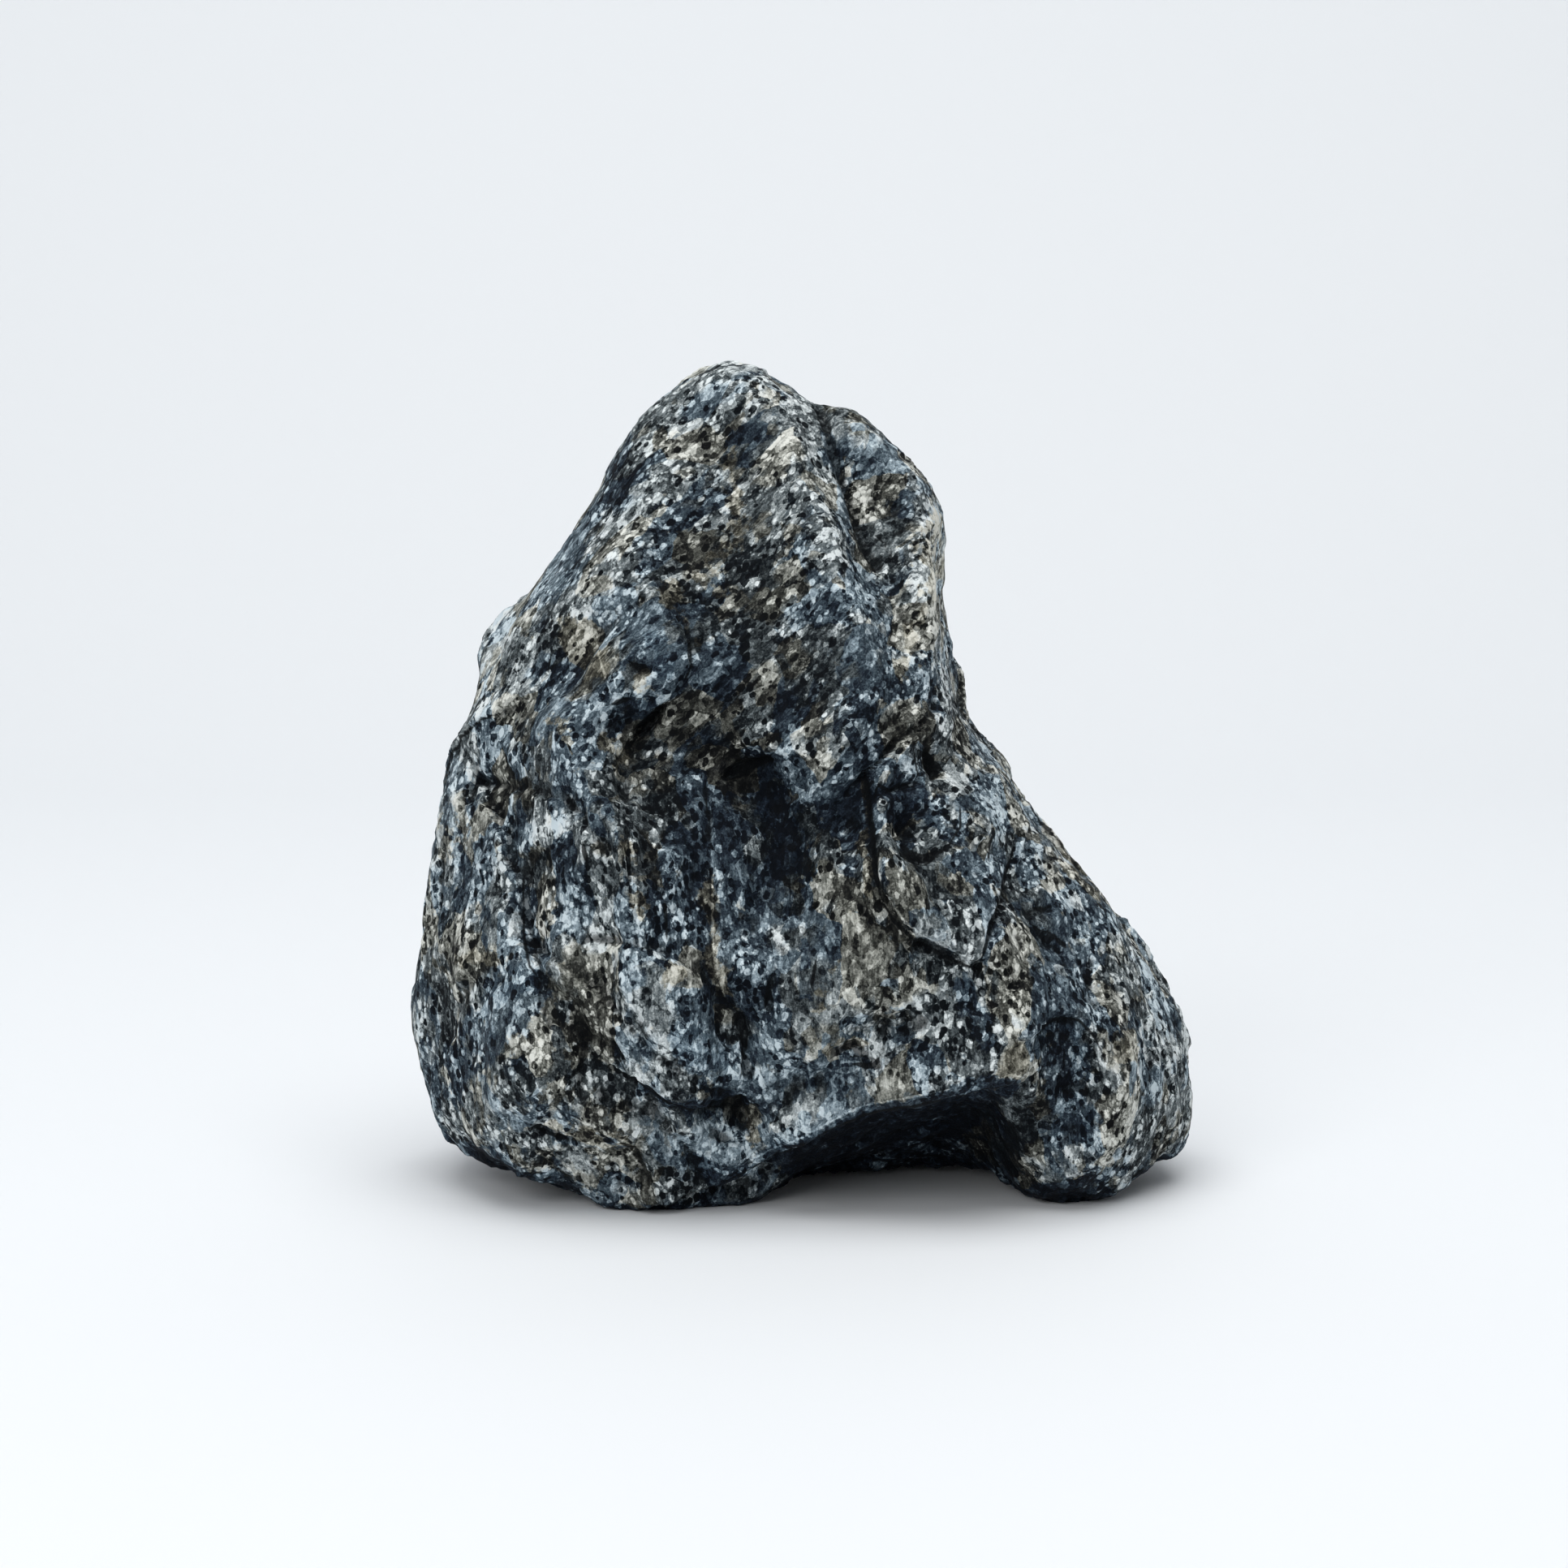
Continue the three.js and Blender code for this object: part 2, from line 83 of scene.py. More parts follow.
bpy.ops.object.select_all(action="DESELECT")
bpy.ops.object.camera_add()
camera = bpy.context.object
camera.name = "camera"
camera.data.lens = 100
camera.data.sensor_width = 36
camera.data.clip_start = 0.01
back = Vector((0, -math.cos(LOOK_DOWN), math.sin(LOOK_DOWN)))
camera.location = AIM + CAMERA_REACH * back
camera.rotation_euler = (math.pi / 2 - LOOK_DOWN, 0, 0)
bpy.context.scene.camera = camera
print("camera at", [round(v, 3) for v in camera.location])

# %% [markdown]
# ## Backdrop and light
#
# The stone stands on a white sheet that curves up behind it, so no horizon line shows. A plain floor
# would do, but its far edge would cut across the picture. The sheet is a plane whose back edge is pulled
# up, with the fold rounded by a bevel.
#
# The light is a wide soft box overhead, which frosts the top of the stone and leaves its underside
# nearly black. A smaller one in front, on the left, fills the face, and the pale room does the rest.
# The rock's colour also holds painted light on top and painted shade underneath.

# %% Backdrop
SHEET_SIZE = 2.4
SHEET_MIDDLE = -0.78
SHEET_BACK = SHEET_MIDDLE + SHEET_SIZE / 2
SHEET_RISE = 1.2
SHEET_CURVE = 0.2
NEAR_ENOUGH = 0.01


def take_up(piece):
    """Selects one piece alone, so that the next operator acts on nothing else."""
    bpy.ops.object.select_all(action="DESELECT")
    piece.select_set(True)
    bpy.context.view_layer.objects.active = piece


def select_edges(piece, wanted):
    """Selects, in edit mode, the edges whose middle passes the test."""
    bpy.ops.mesh.select_all(action="DESELECT")
    bpy.ops.object.mode_set(mode="OBJECT")
    for edge in piece.data.edges:
        a, b = (piece.data.vertices[i].co for i in edge.vertices)
        edge.select = wanted((a + b) / 2)
    bpy.ops.object.mode_set(mode="EDIT")


def at_the_fold(middle):
    return middle.y > SHEET_BACK - NEAR_ENOUGH and abs(middle.z) < NEAR_ENOUGH


bpy.ops.object.select_all(action="DESELECT")
bpy.ops.mesh.primitive_plane_add(size=SHEET_SIZE, location=(0, SHEET_MIDDLE, 0))
sheet = bpy.context.object
sheet.name = "backdrop"
bpy.ops.object.transform_apply(location=True, rotation=True, scale=True)
bpy.ops.object.mode_set(mode="EDIT")
bpy.ops.mesh.select_mode(type="EDGE")
select_edges(sheet, at_the_fold)
bpy.ops.mesh.extrude_region_move(TRANSFORM_OT_translate={"value": (0, 0, SHEET_RISE)})
select_edges(sheet, at_the_fold)
bpy.ops.mesh.bevel(offset=SHEET_CURVE, segments=24, affect="EDGES")
bpy.ops.object.mode_set(mode="OBJECT")
bpy.ops.object.shade_smooth()

paper = bpy.data.materials.new("white_sheet")
paper.use_nodes = True
paper_shader = paper.node_tree.nodes["Principled BSDF"]
paper_shader.inputs["Base Color"].default_value = (0.83, 0.85, 0.87, 1)
paper_shader.inputs["Roughness"].default_value = 0.7
sheet.data.materials.append(paper)
print("backdrop:", len(sheet.data.polygons), "faces")

# %% Light
STONE_MIDDLE = Vector((0, 0, 0.03))

room = bpy.data.worlds.new("pale_room")
bpy.context.scene.world = room
room.use_nodes = True
room.node_tree.nodes["Background"].inputs["Color"].default_value = (0.93, 0.965, 1, 1)
room.node_tree.nodes["Background"].inputs["Strength"].default_value = 0.30


def soft_box(name, place, size, power):
    """A square light that faces the stone."""
    bpy.ops.object.light_add(type="AREA", location=place)
    lamp = bpy.context.object
    lamp.name = name
    lamp.data.size = size
    lamp.data.energy = power
    lamp.rotation_mode = "QUATERNION"
    lamp.rotation_quaternion = (STONE_MIDDLE - Vector(place)).to_track_quat("-Z", "Y")


soft_box("top_light", place=(0.02, -0.10, 0.64), size=0.60, power=3.3)
soft_box("front_fill", place=(-0.30, -0.62, 0.42), size=0.45, power=2.0)
bpy.context.scene.view_settings.view_transform = "Standard"

# %% [markdown]
# ## The stone's shape: an even skin
#
# The frame's stone has the large forms in about ten thousand triangles. Broken rock needs steps and
# pits under a millimetre, so it needs a finer skin. Subdividing alone would keep the long thin
# triangles where the forms are steep, and relief would smear there. So the copy is rounded by
# subdivision once, and then remeshed into small squares of one size, as clay is before sculpting.

# %% Even skin
SKIN_STEP = 0.00041

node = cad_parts["labradorite_stone"]
stone = bpy.data.objects.new("rough_stone", node.data.copy())
bpy.context.scene.collection.objects.link(stone)
take_up(stone)
bpy.ops.object.mode_set(mode="EDIT")
bpy.ops.mesh.select_mode(type="VERT")
bpy.ops.mesh.select_all(action="SELECT")
bpy.ops.mesh.remove_doubles(threshold=1e-6)
bpy.ops.object.mode_set(mode="OBJECT")

rounding = stone.modifiers.new("rounding", "SUBSURF")
rounding.levels = rounding.render_levels = 1
bpy.ops.object.modifier_apply(modifier=rounding.name)
skin = stone.modifiers.new("even_skin", "REMESH")
skin.mode = "VOXEL"
skin.voxel_size = SKIN_STEP
bpy.ops.object.modifier_apply(modifier=skin.name)
print("skin:", len(stone.data.polygons), "squares")

# %% [markdown]
# ## Places and directions
#
# From here the skin is worked as numbers: the place of every point in millimetres, and the way it
# faces. A sculptor would do the same by hand with brushes, but code gives the same stone every time.

# %% Points of the skin
def skin_points():
    """The place of every point of the skin in mm, and the way it faces."""
    count = len(stone.data.vertices)
    places, facing = np.empty(count * 3), np.empty(count * 3)
    stone.data.vertices.foreach_get("co", places)
    stone.data.vertex_normals.foreach_get("vector", facing)
    return places.reshape(-1, 3) / MM, facing.reshape(-1, 3)


places, facing = skin_points()
print("points:", len(places))

# %% [markdown]
# ## Brushes
#
# A brush stroke is a line on one side of the stone, given by its corners in millimetres as seen from
# that side. All that a brush needs to know is how far each point of the skin is from the line, and on
# which of its two banks the point lies. The stroke fades where the skin turns away from the side.

# %% Brushes
# For each side: the axis across it, the axis up it, the axis it faces, and which way along that axis.
SIDES = {
    "front": (0, 2, 1, -1),
    "back": (0, 2, 1, 1),
    "left": (1, 2, 0, -1),
    "right": (1, 2, 0, 1),
}
FACE_LINE = np.array([0.5, 0, 0])  # lines are measured from here, a little beside the frame's middle
FADES_OUT = (0.05, 0.3)  # how much the skin faces the side where a stroke ends, and where it is whole
FAR = 1e9


def ramp(low, high, values):
    """0 at low, 1 at high, and a smooth rise between."""
    t = np.clip((values - low) / (high - low), 0, 1)
    return t * t * (3 - 2 * t)


def seen_from(side, places, facing):
    """Each point's place across and up one side of the stone, and how much it faces that side."""
    across, up, depth, sign = SIDES[side]
    return (places - FACE_LINE)[:, across], places[:, up], sign * facing[:, depth]


def pieces(line):
    """The straight pieces of a line. A line of one corner is a dab: a piece of no length."""
    return list(zip(line, line[1:])) or [(line[0], line[0])]


def to_piece(a, b, start, end):
    """For each point: how far along the piece it is, 0 to 1, how far off it, and on which bank."""
    (a0, b0), (a1, b1) = start, end
    da, db = a1 - a0, b1 - b0
    squared = max(1e-9, da * da + db * db)
    t = np.clip(((a - a0) * da + (b - b0) * db) / squared, 0, 1)
    gap = np.hypot(a - a0 - t * da, b - b0 - t * db)
    bank = (da * (b - b0) - db * (a - a0)) / math.sqrt(squared)
    return t, gap, bank


def stroke(side, line, width, places, facing):
    """How strongly a brush stroke along a line covers each point: 1 on the line, 0 past its width."""
    a, b, towards = seen_from(side, places, facing)
    gap = np.min([to_piece(a, b, *piece)[1] for piece in pieces(line)], axis=0)
    return (1 - ramp(0, width, gap)) * ramp(*FADES_OUT, towards)


def wander(places, wave, seed):
    """A smooth random number from -1 to 1 for each point, that changes over the given wave length."""
    shift = Vector((seed * 17.3, seed * 5.1, seed * 9.7))
    return np.array([noise.noise(Vector(p) / wave + shift) for p in places])


print("brushes ready for", ", ".join(SIDES))

# %% [markdown]
# ## Broken flats
#
# Feldspar splits along flat planes, so a broken face is a crowd of small flats with narrow steps
# between them. Random bumps would look like worn sandstone. Here space is cut into cells a few
# millimetres long, and each cell gets a flat of its own, tilted and raised by its own amount. The cells
# are drawn out along the rock's grain: slanting in the upper half, upright in the lower one.

# %% Which way the grain runs
UPPER_LEAN = math.radians(44)
LOWER_LEAN = math.radians(6)


def leaning(places, lean, stretch):
    """The places, turned so that the grain runs along Z, and squeezed along it by the stretch."""
    x = places[:, 0] * math.cos(lean) - places[:, 2] * math.sin(lean)
    z = places[:, 0] * math.sin(lean) + places[:, 2] * math.cos(lean)
    return np.stack([x, places[:, 1], z / stretch], 1)


upper = ramp(27, 37, places[:, 2] + 0.3 * places[:, 0] + 4 * wander(places, 7, 12))


def along_grain(pattern, stretch):
    """A pattern in the slanting grain and in the upright one, blended where the two halves meet."""
    total = np.zeros(len(places))
    for share, lean in ((upper, UPPER_LEAN), (1 - upper, LOWER_LEAN)):
        there = share > 0
        total[there] += share[there] * pattern(leaning(places[there], lean, stretch))
    return total


print("upper half:", round(100 * upper.mean()), "% of the skin")

# %% Flats
CRISPNESS = 24
TILT = 2.2
APART = 91.7  # spreads the cells' middles, so that each draws a random tilt of its own


def flats(size, seed):
    """A pattern of cells of one size, each a flat with its own tilt, from about -1 to 1."""
    shift = Vector((seed * 3.7, seed * 11.9, seed * 7.3))
    middle_value = Vector((0.5, 0.5, 0.5))

    def pattern(places):
        heights = np.empty(len(places))
        for i, p in enumerate(places):
            at = Vector(p) / size + shift
            gaps, middles = noise.voronoi(at)
            total = weights = 0
            for gap, middle in zip(gaps[:3], middles[:3]):
                weight = math.exp(CRISPNESS * (gaps[0] * gaps[0] - gap * gap))
                own = noise.cell_vector(middle * APART) - middle_value
                total += weight * (TILT * own.dot(at - middle) + own.x)
                weights += weight
            heights[i] = total / weights
        return heights

    return pattern


relief = 0.28 * along_grain(flats(size=4.2, seed=3), stretch=1.8)
relief += 0.24 * along_grain(flats(size=2.1, seed=4), stretch=2.1)
relief += 0.15 * along_grain(flats(size=1.2, seed=5), stretch=1.8)
relief *= 1 - 0.25 * upper
print("relief from", relief.min().round(2), "to", relief.max().round(2), "mm")

# %% Rubbed faces
# The peak, the nose, the flanks and the right crest are rubbed smooth; the face between them isn't.
RUBBED = [
    # side, line, width in mm, strength from 0 to 1
    ("front", [(-13, 58), (-8, 64), (-2, 65), (2, 62)], 5, 0.5),
    ("front", [(1.6, 60), (2.6, 54), (4, 47), (4.4, 41)], 3.5, 0.6),
    ("front", [(-26, 40), (-21, 50), (-16, 58)], 7, 0.6),
    ("front", [(11, 58), (12.6, 50), (13, 44), (15, 38)], 4, 0.7),
    ("front", [(18, 33), (23, 26), (28, 18)], 3, 0.4),
]


def brushed(strokes, places):
    """One mask from a list of strokes, the strongest where they overlap."""
    mask = np.zeros(len(places))
    for side, line, width, strength in strokes:
        mask = np.maximum(mask, strength * stroke(side, line, width, places, facing))
    return mask


relief *= 1 - brushed(RUBBED, places)
print("rubbed:", len(RUBBED), "faces")

# %% [markdown]
# ## Ledges, cracks and pits
#
# The photograph shows a few edges that catch the eye: the lip over the hollow under the stone, the
# leaf-shaped plate on the right, a block on the left flank. A ledge raises the skin on one side of a
# line and drops to the other side at once. Beside most ledges runs a dark crack. They are cut one by
# one, after the flats, so that they stay sharp.

# %% Ledges
LEDGES = [
    # side, line (the skin on the left of its run is raised), how far the raise reaches, height in mm
    ("front", [(-12, 0.8), (-7.2, 2.8), (-3.7, 4.6), (0.2, 7), (4, 9.1), (6.8, 9.9), (10.4, 10.7),
               (16.5, 12)], 3.0, 0.9),
    ("front", [(8.3, 38.5), (3.9, 35.1), (4.5, 33.3), (4.9, 29.5), (5.6, 27), (7.3, 24.4),
               (10.1, 22.7), (13.4, 21.2)], 5.0, 0.7),
    ("front", [(13.4, 21.2), (14, 24.2), (16.2, 26.9), (17.1, 28.6)], 4.0, 0.5),
    ("front", [(-22, 21.8), (-23, 24), (-22.5, 26.1), (-23.8, 27.9), (-24.1, 29.7),
               (-26.6, 33.2)], 3.0, 0.8),
    ("front", [(-22, 21.6), (-19.3, 20.6), (-16.5, 18.6), (-13.6, 14.7), (-10.7, 12.8),
               (-7.3, 10.3)], 2.5, -0.6),
    ("front", [(-12.9, 22.8), (-13.6, 29.3), (-13.9, 33.9)], 1.8, -0.35),
    ("front", [(-6.3, 18.3), (-7.5, 19.8), (-7.3, 24.7), (-7.4, 29.5)], 1.6, -0.3),
    ("front", [(-5.7, 10.1), (-5.1, 14.2), (-5.4, 18.3)], 2.2, 0.4),
    ("front", [(-16.8, 22.4), (-11.8, 22.7), (-8.6, 20.2)], 2.0, -0.5),
    ("front", [(17.1, 15.4), (19.5, 16.6), (21.6, 16), (22.8, 14), (23.4, 11)], 2.5, 0.4),
    ("front", [(-15.8, 9.4), (-12.6, 8.6), (-10, 5.6), (-9.2, 3.4)], 2.0, -0.6),
    ("front", [(-13.6, 38), (-10.6, 40.8), (-9.2, 43.2), (-9.8, 46), (-11.6, 49.4)], 2.5, 0.5),
    ("front", [(-25.6, 33), (-21.4, 33.6), (-18.2, 32.2), (-16.6, 30)], 2.0, -0.6),
    ("front", [(4.8, 54.6), (7.4, 51.6), (9.6, 53.4)], 2.0, 0.5),
    ("front", [(-4.5, 37.2), (-1.2, 36.8)], 2.0, 0.3),
    ("front", [(3.4, 35), (6, 37.4), (8.4, 39.2)], 1.6, 0.5),
    ("back", [(18, 31), (8, 33), (-4, 29.4), (-14, 20)], 3, 0.7),
    ("back", [(-6, 52), (-4, 44), (-7, 38)], 2.5, 0.6),
    ("back", [(10, 24), (2, 16), (4, 8)], 2.5, 0.6),
    ("left", [(-8, 40), (0, 34), (4, 22)], 2.5, 0.5),
    ("right", [(10, 42), (2, 34), (-2, 20)], 2.5, 0.5),
]

wobble = np.stack([wander(places, 2.2, seed) for seed in (6, 7, 8)], 1)


def ledge(side, line, reach, places, facing):
    """1 on the line's left bank, fading over the reach, and 0 on its right bank."""
    a, b, towards = seen_from(side, places, facing)
    nearest, left = np.full(len(places), FAR), np.zeros(len(places))
    for start, end in pieces(line):
        _, gap, bank = to_piece(a, b, start, end)
        left = np.where(gap < nearest, bank, left)
        nearest = np.minimum(gap, nearest)
    return ramp(-0.2, 0.25, left) * (1 - ramp(0, reach, nearest)) * ramp(*FADES_OUT, towards)


for side, line, reach, rise in LEDGES:
    relief += rise * ledge(side, line, reach, places + 0.35 * wobble, facing)
print("ledges:", len(LEDGES))

# %% Cracks and pits
CRACKS = [
    # side, line, width, depth in mm
    ("front", [(4.4, 35.4), (4.6, 34.5), (5.0, 31.4), (5.2, 28.3), (5.7, 26)], 0.8, 0.9),
    ("front", [(5.7, 26), (6.7, 24.5), (8.7, 22.6), (11, 21.4), (13.3, 20.5)], 0.6, 0.4),
    ("front", [(16.7, 29.4), (15.4, 26.3), (14.1, 23.2), (13.3, 20.5)], 0.7, 0.4),
    ("front", [(5, 33.9), (6.4, 34.1), (8.5, 34.6)], 0.6, 0.5),
    ("front", [(7.4, 29.6), (8.7, 28.9), (10.2, 29.2)], 0.7, 0.6),
    ("front", [(9.4, 36.6), (10, 35.2)], 0.8, 0.8),
    ("front", [(-9.4, 46.5), (-9.2, 43.6), (-11.2, 40.6), (-13.4, 38.4)], 0.6, 0.5),
    ("front", [(-13.8, 43.9), (-12.8, 43.5)], 0.8, 0.9),
    ("front", [(-13.4, 38.3), (-11.8, 39.8)], 0.8, 0.8),
    ("front", [(-26.6, 33.4), (-27.2, 32.1)], 0.8, 0.8),
    ("front", [(-22.4, 28.1), (-22.6, 25.5), (-22.5, 22.4), (-20.8, 18.8)], 0.7, 0.5),
    ("front", [(-15.5, 14.7), (-14.2, 12.2), (-11.9, 10.4), (-8.8, 9.1), (-6.8, 8.9),
               (-5.4, 9.9)], 0.7, 0.4),
    ("front", [(-13.9, 31.6), (-13.6, 27.8)], 0.6, 0.4),
    ("front", [(-8.1, 33.9), (-7.8, 30.6)], 0.6, 0.4),
    ("front", [(-5.4, 16.3), (-5.1, 14.2)], 0.6, 0.5),
    ("front", [(-5.8, 8.9), (-5.5, 7.8)], 1.0, 0.9),
    ("front", [(1.1, 63.4), (2.2, 59.6), (4.2, 54.4), (5.6, 51)], 0.8, 0.7),
    ("front", [(-21.4, 7.1), (-19.2, 6.3)], 0.7, 0.8),
    ("front", [(-6.3, 35), (-4.6, 35.5), (-3.2, 36)], 0.8, 0.7),
    ("front", [(17.9, 15.3), (19.5, 16), (21, 15.9), (22, 14.8), (22.7, 13.3)], 0.6, 0.3),
    ("front", [(2.2, 13.9), (3.6, 14.4), (5.3, 13)], 0.8, 0.6),
    ("front", [(18, 22.9), (19, 21.8), (20.2, 21.2)], 0.7, 0.7),
    ("front", [(18.1, 24.2), (19.2, 24.1)], 0.7, 0.5),
    ("front", [(-2.9, 19.9), (-3.3, 17.6)], 0.7, 0.6),
    ("front", [(7.8, 22.6), (9, 22.3)], 0.7, 0.5),
    ("back", [(18, 31), (8, 33), (-4, 29.4), (-14, 20)], 0.7, 0.6),
    ("back", [(-6, 52), (-4, 44), (-7, 38)], 0.7, 0.6),
]
SHADED_WIDTHS = 3.2  # the rock is darker for so many widths beside a crack

# Painted shade: the rock's colour is darkened beside each crack, as in the shade of a crease.
shade_beside_crack = np.zeros(len(places))
for side, line, width, depth in CRACKS:
    relief -= depth * stroke(side, line, width, places + 0.15 * wobble, facing)
    shaded = depth * stroke(side, line, SHADED_WIDTHS * width, places + 0.6 * wobble, facing)
    shade_beside_crack = np.maximum(shade_beside_crack, shaded)
print("cracks cut:", len(CRACKS))

# %% The worked skin
# Nothing grows past the frame's box, and the feet stay flat on the ground.
FOOT_HEIGHT = 0.06

plain_facing = facing
worked = np.clip(places + facing * relief[:, None], np.array(cad_low) / MM, np.array(cad_high) / MM)
worked[places[:, 2] < FOOT_HEIGHT, 2] = 0
stone.data.vertices.foreach_set("co", (worked * MM).ravel())
stone.data.update()
take_up(stone)
bpy.ops.object.shade_smooth()
places, facing = skin_points()
print("worked skin from", places.min(0).round(1), "to", places.max(0).round(1))

# %% [markdown]
# ## Where the stone is hollow and where it is proud
#
# Hollows are painted darker, as painted shade, and proud edges paler, as painted highlight. A smoothed
# copy of the skin tells one from the other: a point that lies under the smoothed skin is in a hollow.

# %% Hollows and edges
NEAR_ROUNDS = 10  # finds the dips, under a millimetre wide
WIDE_ROUNDS = 110  # finds the hollows, a few millimetres wide

edges = np.empty(len(stone.data.edges) * 2, dtype=np.int64)
stone.data.edges.foreach_get("vertices", edges)
edges = edges.reshape(-1, 2)
links = np.bincount(edges.ravel(), minlength=len(places))[:, None]


def smoothed(values, rounds):
    """The points, each drawn halfway to the middle of its neighbours, again and again."""
    for _ in range(rounds):
        total = np.zeros_like(values)
        np.add.at(total, edges[:, 0], values[edges[:, 1]])
        np.add.at(total, edges[:, 1], values[edges[:, 0]])
        values = 0.5 * values + 0.5 * total / links
    return values


near = smoothed(places, NEAR_ROUNDS)
wide = smoothed(near, WIDE_ROUNDS)
dip = ((near - places) * facing).sum(1)
hollow = ((wide - places) * facing).sum(1)
print("dips to", dip.max().round(2), "mm, hollows to", hollow.max().round(2), "mm")

# %% [markdown]
# ## Patches of colour
#
# The rock's colours change from place to place: tan patches where the feldspar is weathered, pale ones
# on the knob and flank, navy ones on the lobes. They are brushed on as soft masks, and the rock's own
# grain breaks up their edges later. Random patches would be quicker, but it would be another stone.

# %% Tan, pale and white patches
# Every list of patches has: side, line, width in mm, strength.
TAN = [
    ("front", [(-18.4, 45.8), (-17.4, 44.2)], 2.8, 1.2),
    ("front", [(-13.2, 42.6)], 1.6, 0.7),
    ("front", [(-16, 38), (-15, 36.6)], 1.6, 0.6),
    ("front", [(-10.4, 20.6)], 1.4, 0.9),
    ("front", [(-8, 27), (-7.2, 22), (-6.6, 18.6)], 1.2, 0.6),
    ("front", [(-13.8, 30), (-13.2, 25)], 1.1, 0.5),
    ("front", [(2.4, 22), (1.8, 20), (0.4, 17)], 1.5, 0.4),
    ("front", [(4, 15), (2, 14.4)], 1.2, 0.7),
    ("front", [(15.6, 12.6), (16.6, 14.4)], 1.3, 0.8),
    ("front", [(25.4, 13.6)], 2.0, 1.0),
    ("front", [(21.6, 27.6), (23.6, 25)], 2.2, 1.0),
    ("front", [(10.2, 54), (10, 49.6)], 2.2, 0.7),
    ("front", [(8.8, 47.6), (7.4, 43)], 1.8, 0.5),
    ("front", [(4.4, 35), (4.2, 30), (5, 26.4)], 1.0, 0.6),
    ("front", [(-19.5, 7.4), (-14.6, 6.2)], 1.8, 0.6),
    ("front", [(-27.4, 19.8), (-23.6, 21.2)], 1.2, 0.5),
    ("front", [(-4.6, 9), (-4, 6.8)], 1.2, 0.6),
    ("front", [(-7, 60), (-5.4, 55), (-7.6, 50)], 2.6, 0.4),
    ("front", [(-11, 50), (-9.6, 47)], 1.6, 0.5),
    ("front", [(-20, 39.4)], 1.8, 0.5),
    ("back", [(8, 44), (4, 36)], 4, 0.5),
    ("back", [(-14, 24), (-10, 14)], 3.4, 0.5),
    ("left", [(4, 30), (6, 20)], 3, 0.5),
    ("right", [(6, 30), (8, 18)], 3, 0.5),
]
PALE = [
    ("front", [(-21.6, 30.9), (-18.6, 31.9)], 2.1, 1.6),
    ("front", [(-22.4, 15), (-21.4, 13.8)], 1.5, 0.6),
    ("front", [(-13.4, 24.4), (-13, 20.6)], 1.4, 0.5),
    ("front", [(-21.8, 24), (-18.6, 24.6)], 1.8, 0.6),
    ("front", [(-15, 44), (-12.8, 41.6)], 2.6, 0.5),
    ("front", [(-4.6, 49.6)], 1.1, 1.0),
    ("front", [(-0.8, 47.6), (-1.6, 44.6)], 1.4, 0.6),
    ("front", [(1.6, 60), (2.6, 54), (4, 47), (4, 42)], 2.6, 0.25),
    ("front", [(-5, 64), (-1, 62)], 2.4, 0.5),
    ("front", [(10.4, 52), (10.4, 46)], 1.8, 0.6),
    ("front", [(-6, 5), (1, 8.6), (6.7, 11.4), (11.8, 13), (15, 13.6)], 1.5, 0.5),
    ("front", [(11, 31.4), (13.6, 30.6)], 1.6, 0.6),
    ("front", [(23, 17.6)], 1.6, 0.4),
    ("front", [(25, 9), (24.4, 5)], 2.4, 0.5),
    ("front", [(-29.6, 41), (-26.4, 46), (-22, 50)], 4, 1.0),
    ("front", [(9, 60), (12.6, 54), (13, 47)], 2.6, 0.5),
    ("back", [(-2, 24), (6, 20)], 4, 0.4),
    ("right", [(-2, 46), (2, 36)], 2.4, 0.4),
]
WHITE = [
    ("front", [(-21.8, 30.5), (-18.4, 31.9)], 1.8, 0.8),
    ("front", [(-24.4, 30.6)], 0.9, 0.8),
    ("front", [(-22.2, 15), (-21.4, 14)], 1.5, 0.7),
    ("front", [(-21.4, 21.6), (-18.6, 22.4)], 1.2, 0.6),
    ("front", [(-13.2, 23), (-13, 20.4)], 1.0, 0.7),
    ("front", [(-4.8, 49.6), (-4, 50.2)], 1.0, 0.9),
    ("front", [(22.6, 16.8), (23.6, 15.8)], 1.4, 0.8),
    ("front", [(13.2, 33.2), (14.8, 32)], 1.2, 0.7),
    ("front", [(10.2, 33)], 0.6, 0.9),
    ("front", [(8.2, 31.4), (9, 31.6)], 0.6, 0.9),
    ("front", [(9.4, 30.4), (10.2, 30.8)], 0.6, 0.8),
    ("front", [(-2.4, 23.2), (-1.6, 22.2)], 0.9, 0.7),
    ("front", [(1.4, 28.4), (0.8, 27.6)], 0.9, 0.7),
    ("front", [(2.8, 14.2), (4, 13.6)], 0.6, 1.0),
    ("front", [(8.4, 11.6), (9.6, 12)], 0.9, 0.6),
    ("front", [(-1, 47), (-0.6, 45.6)], 0.9, 0.6),
    ("front", [(-5.2, 35.6), (-8, 30)], 0.5, 0.4),
    ("front", [(13.6, 57)], 0.6, 0.8),
    ("front", [(-13, 4.8), (-11.6, 3.4)], 0.9, 0.5),
    ("back", [(4, 30), (8, 27)], 1.6, 0.6),
    ("back", [(-12, 34)], 1.8, 0.6),
    ("left", [(-2, 22)], 1.6, 0.6),
    ("right", [(4, 38)], 1.6, 0.6),
]
print("patches:", len(TAN), "tan,", len(PALE), "pale,", len(WHITE), "white")
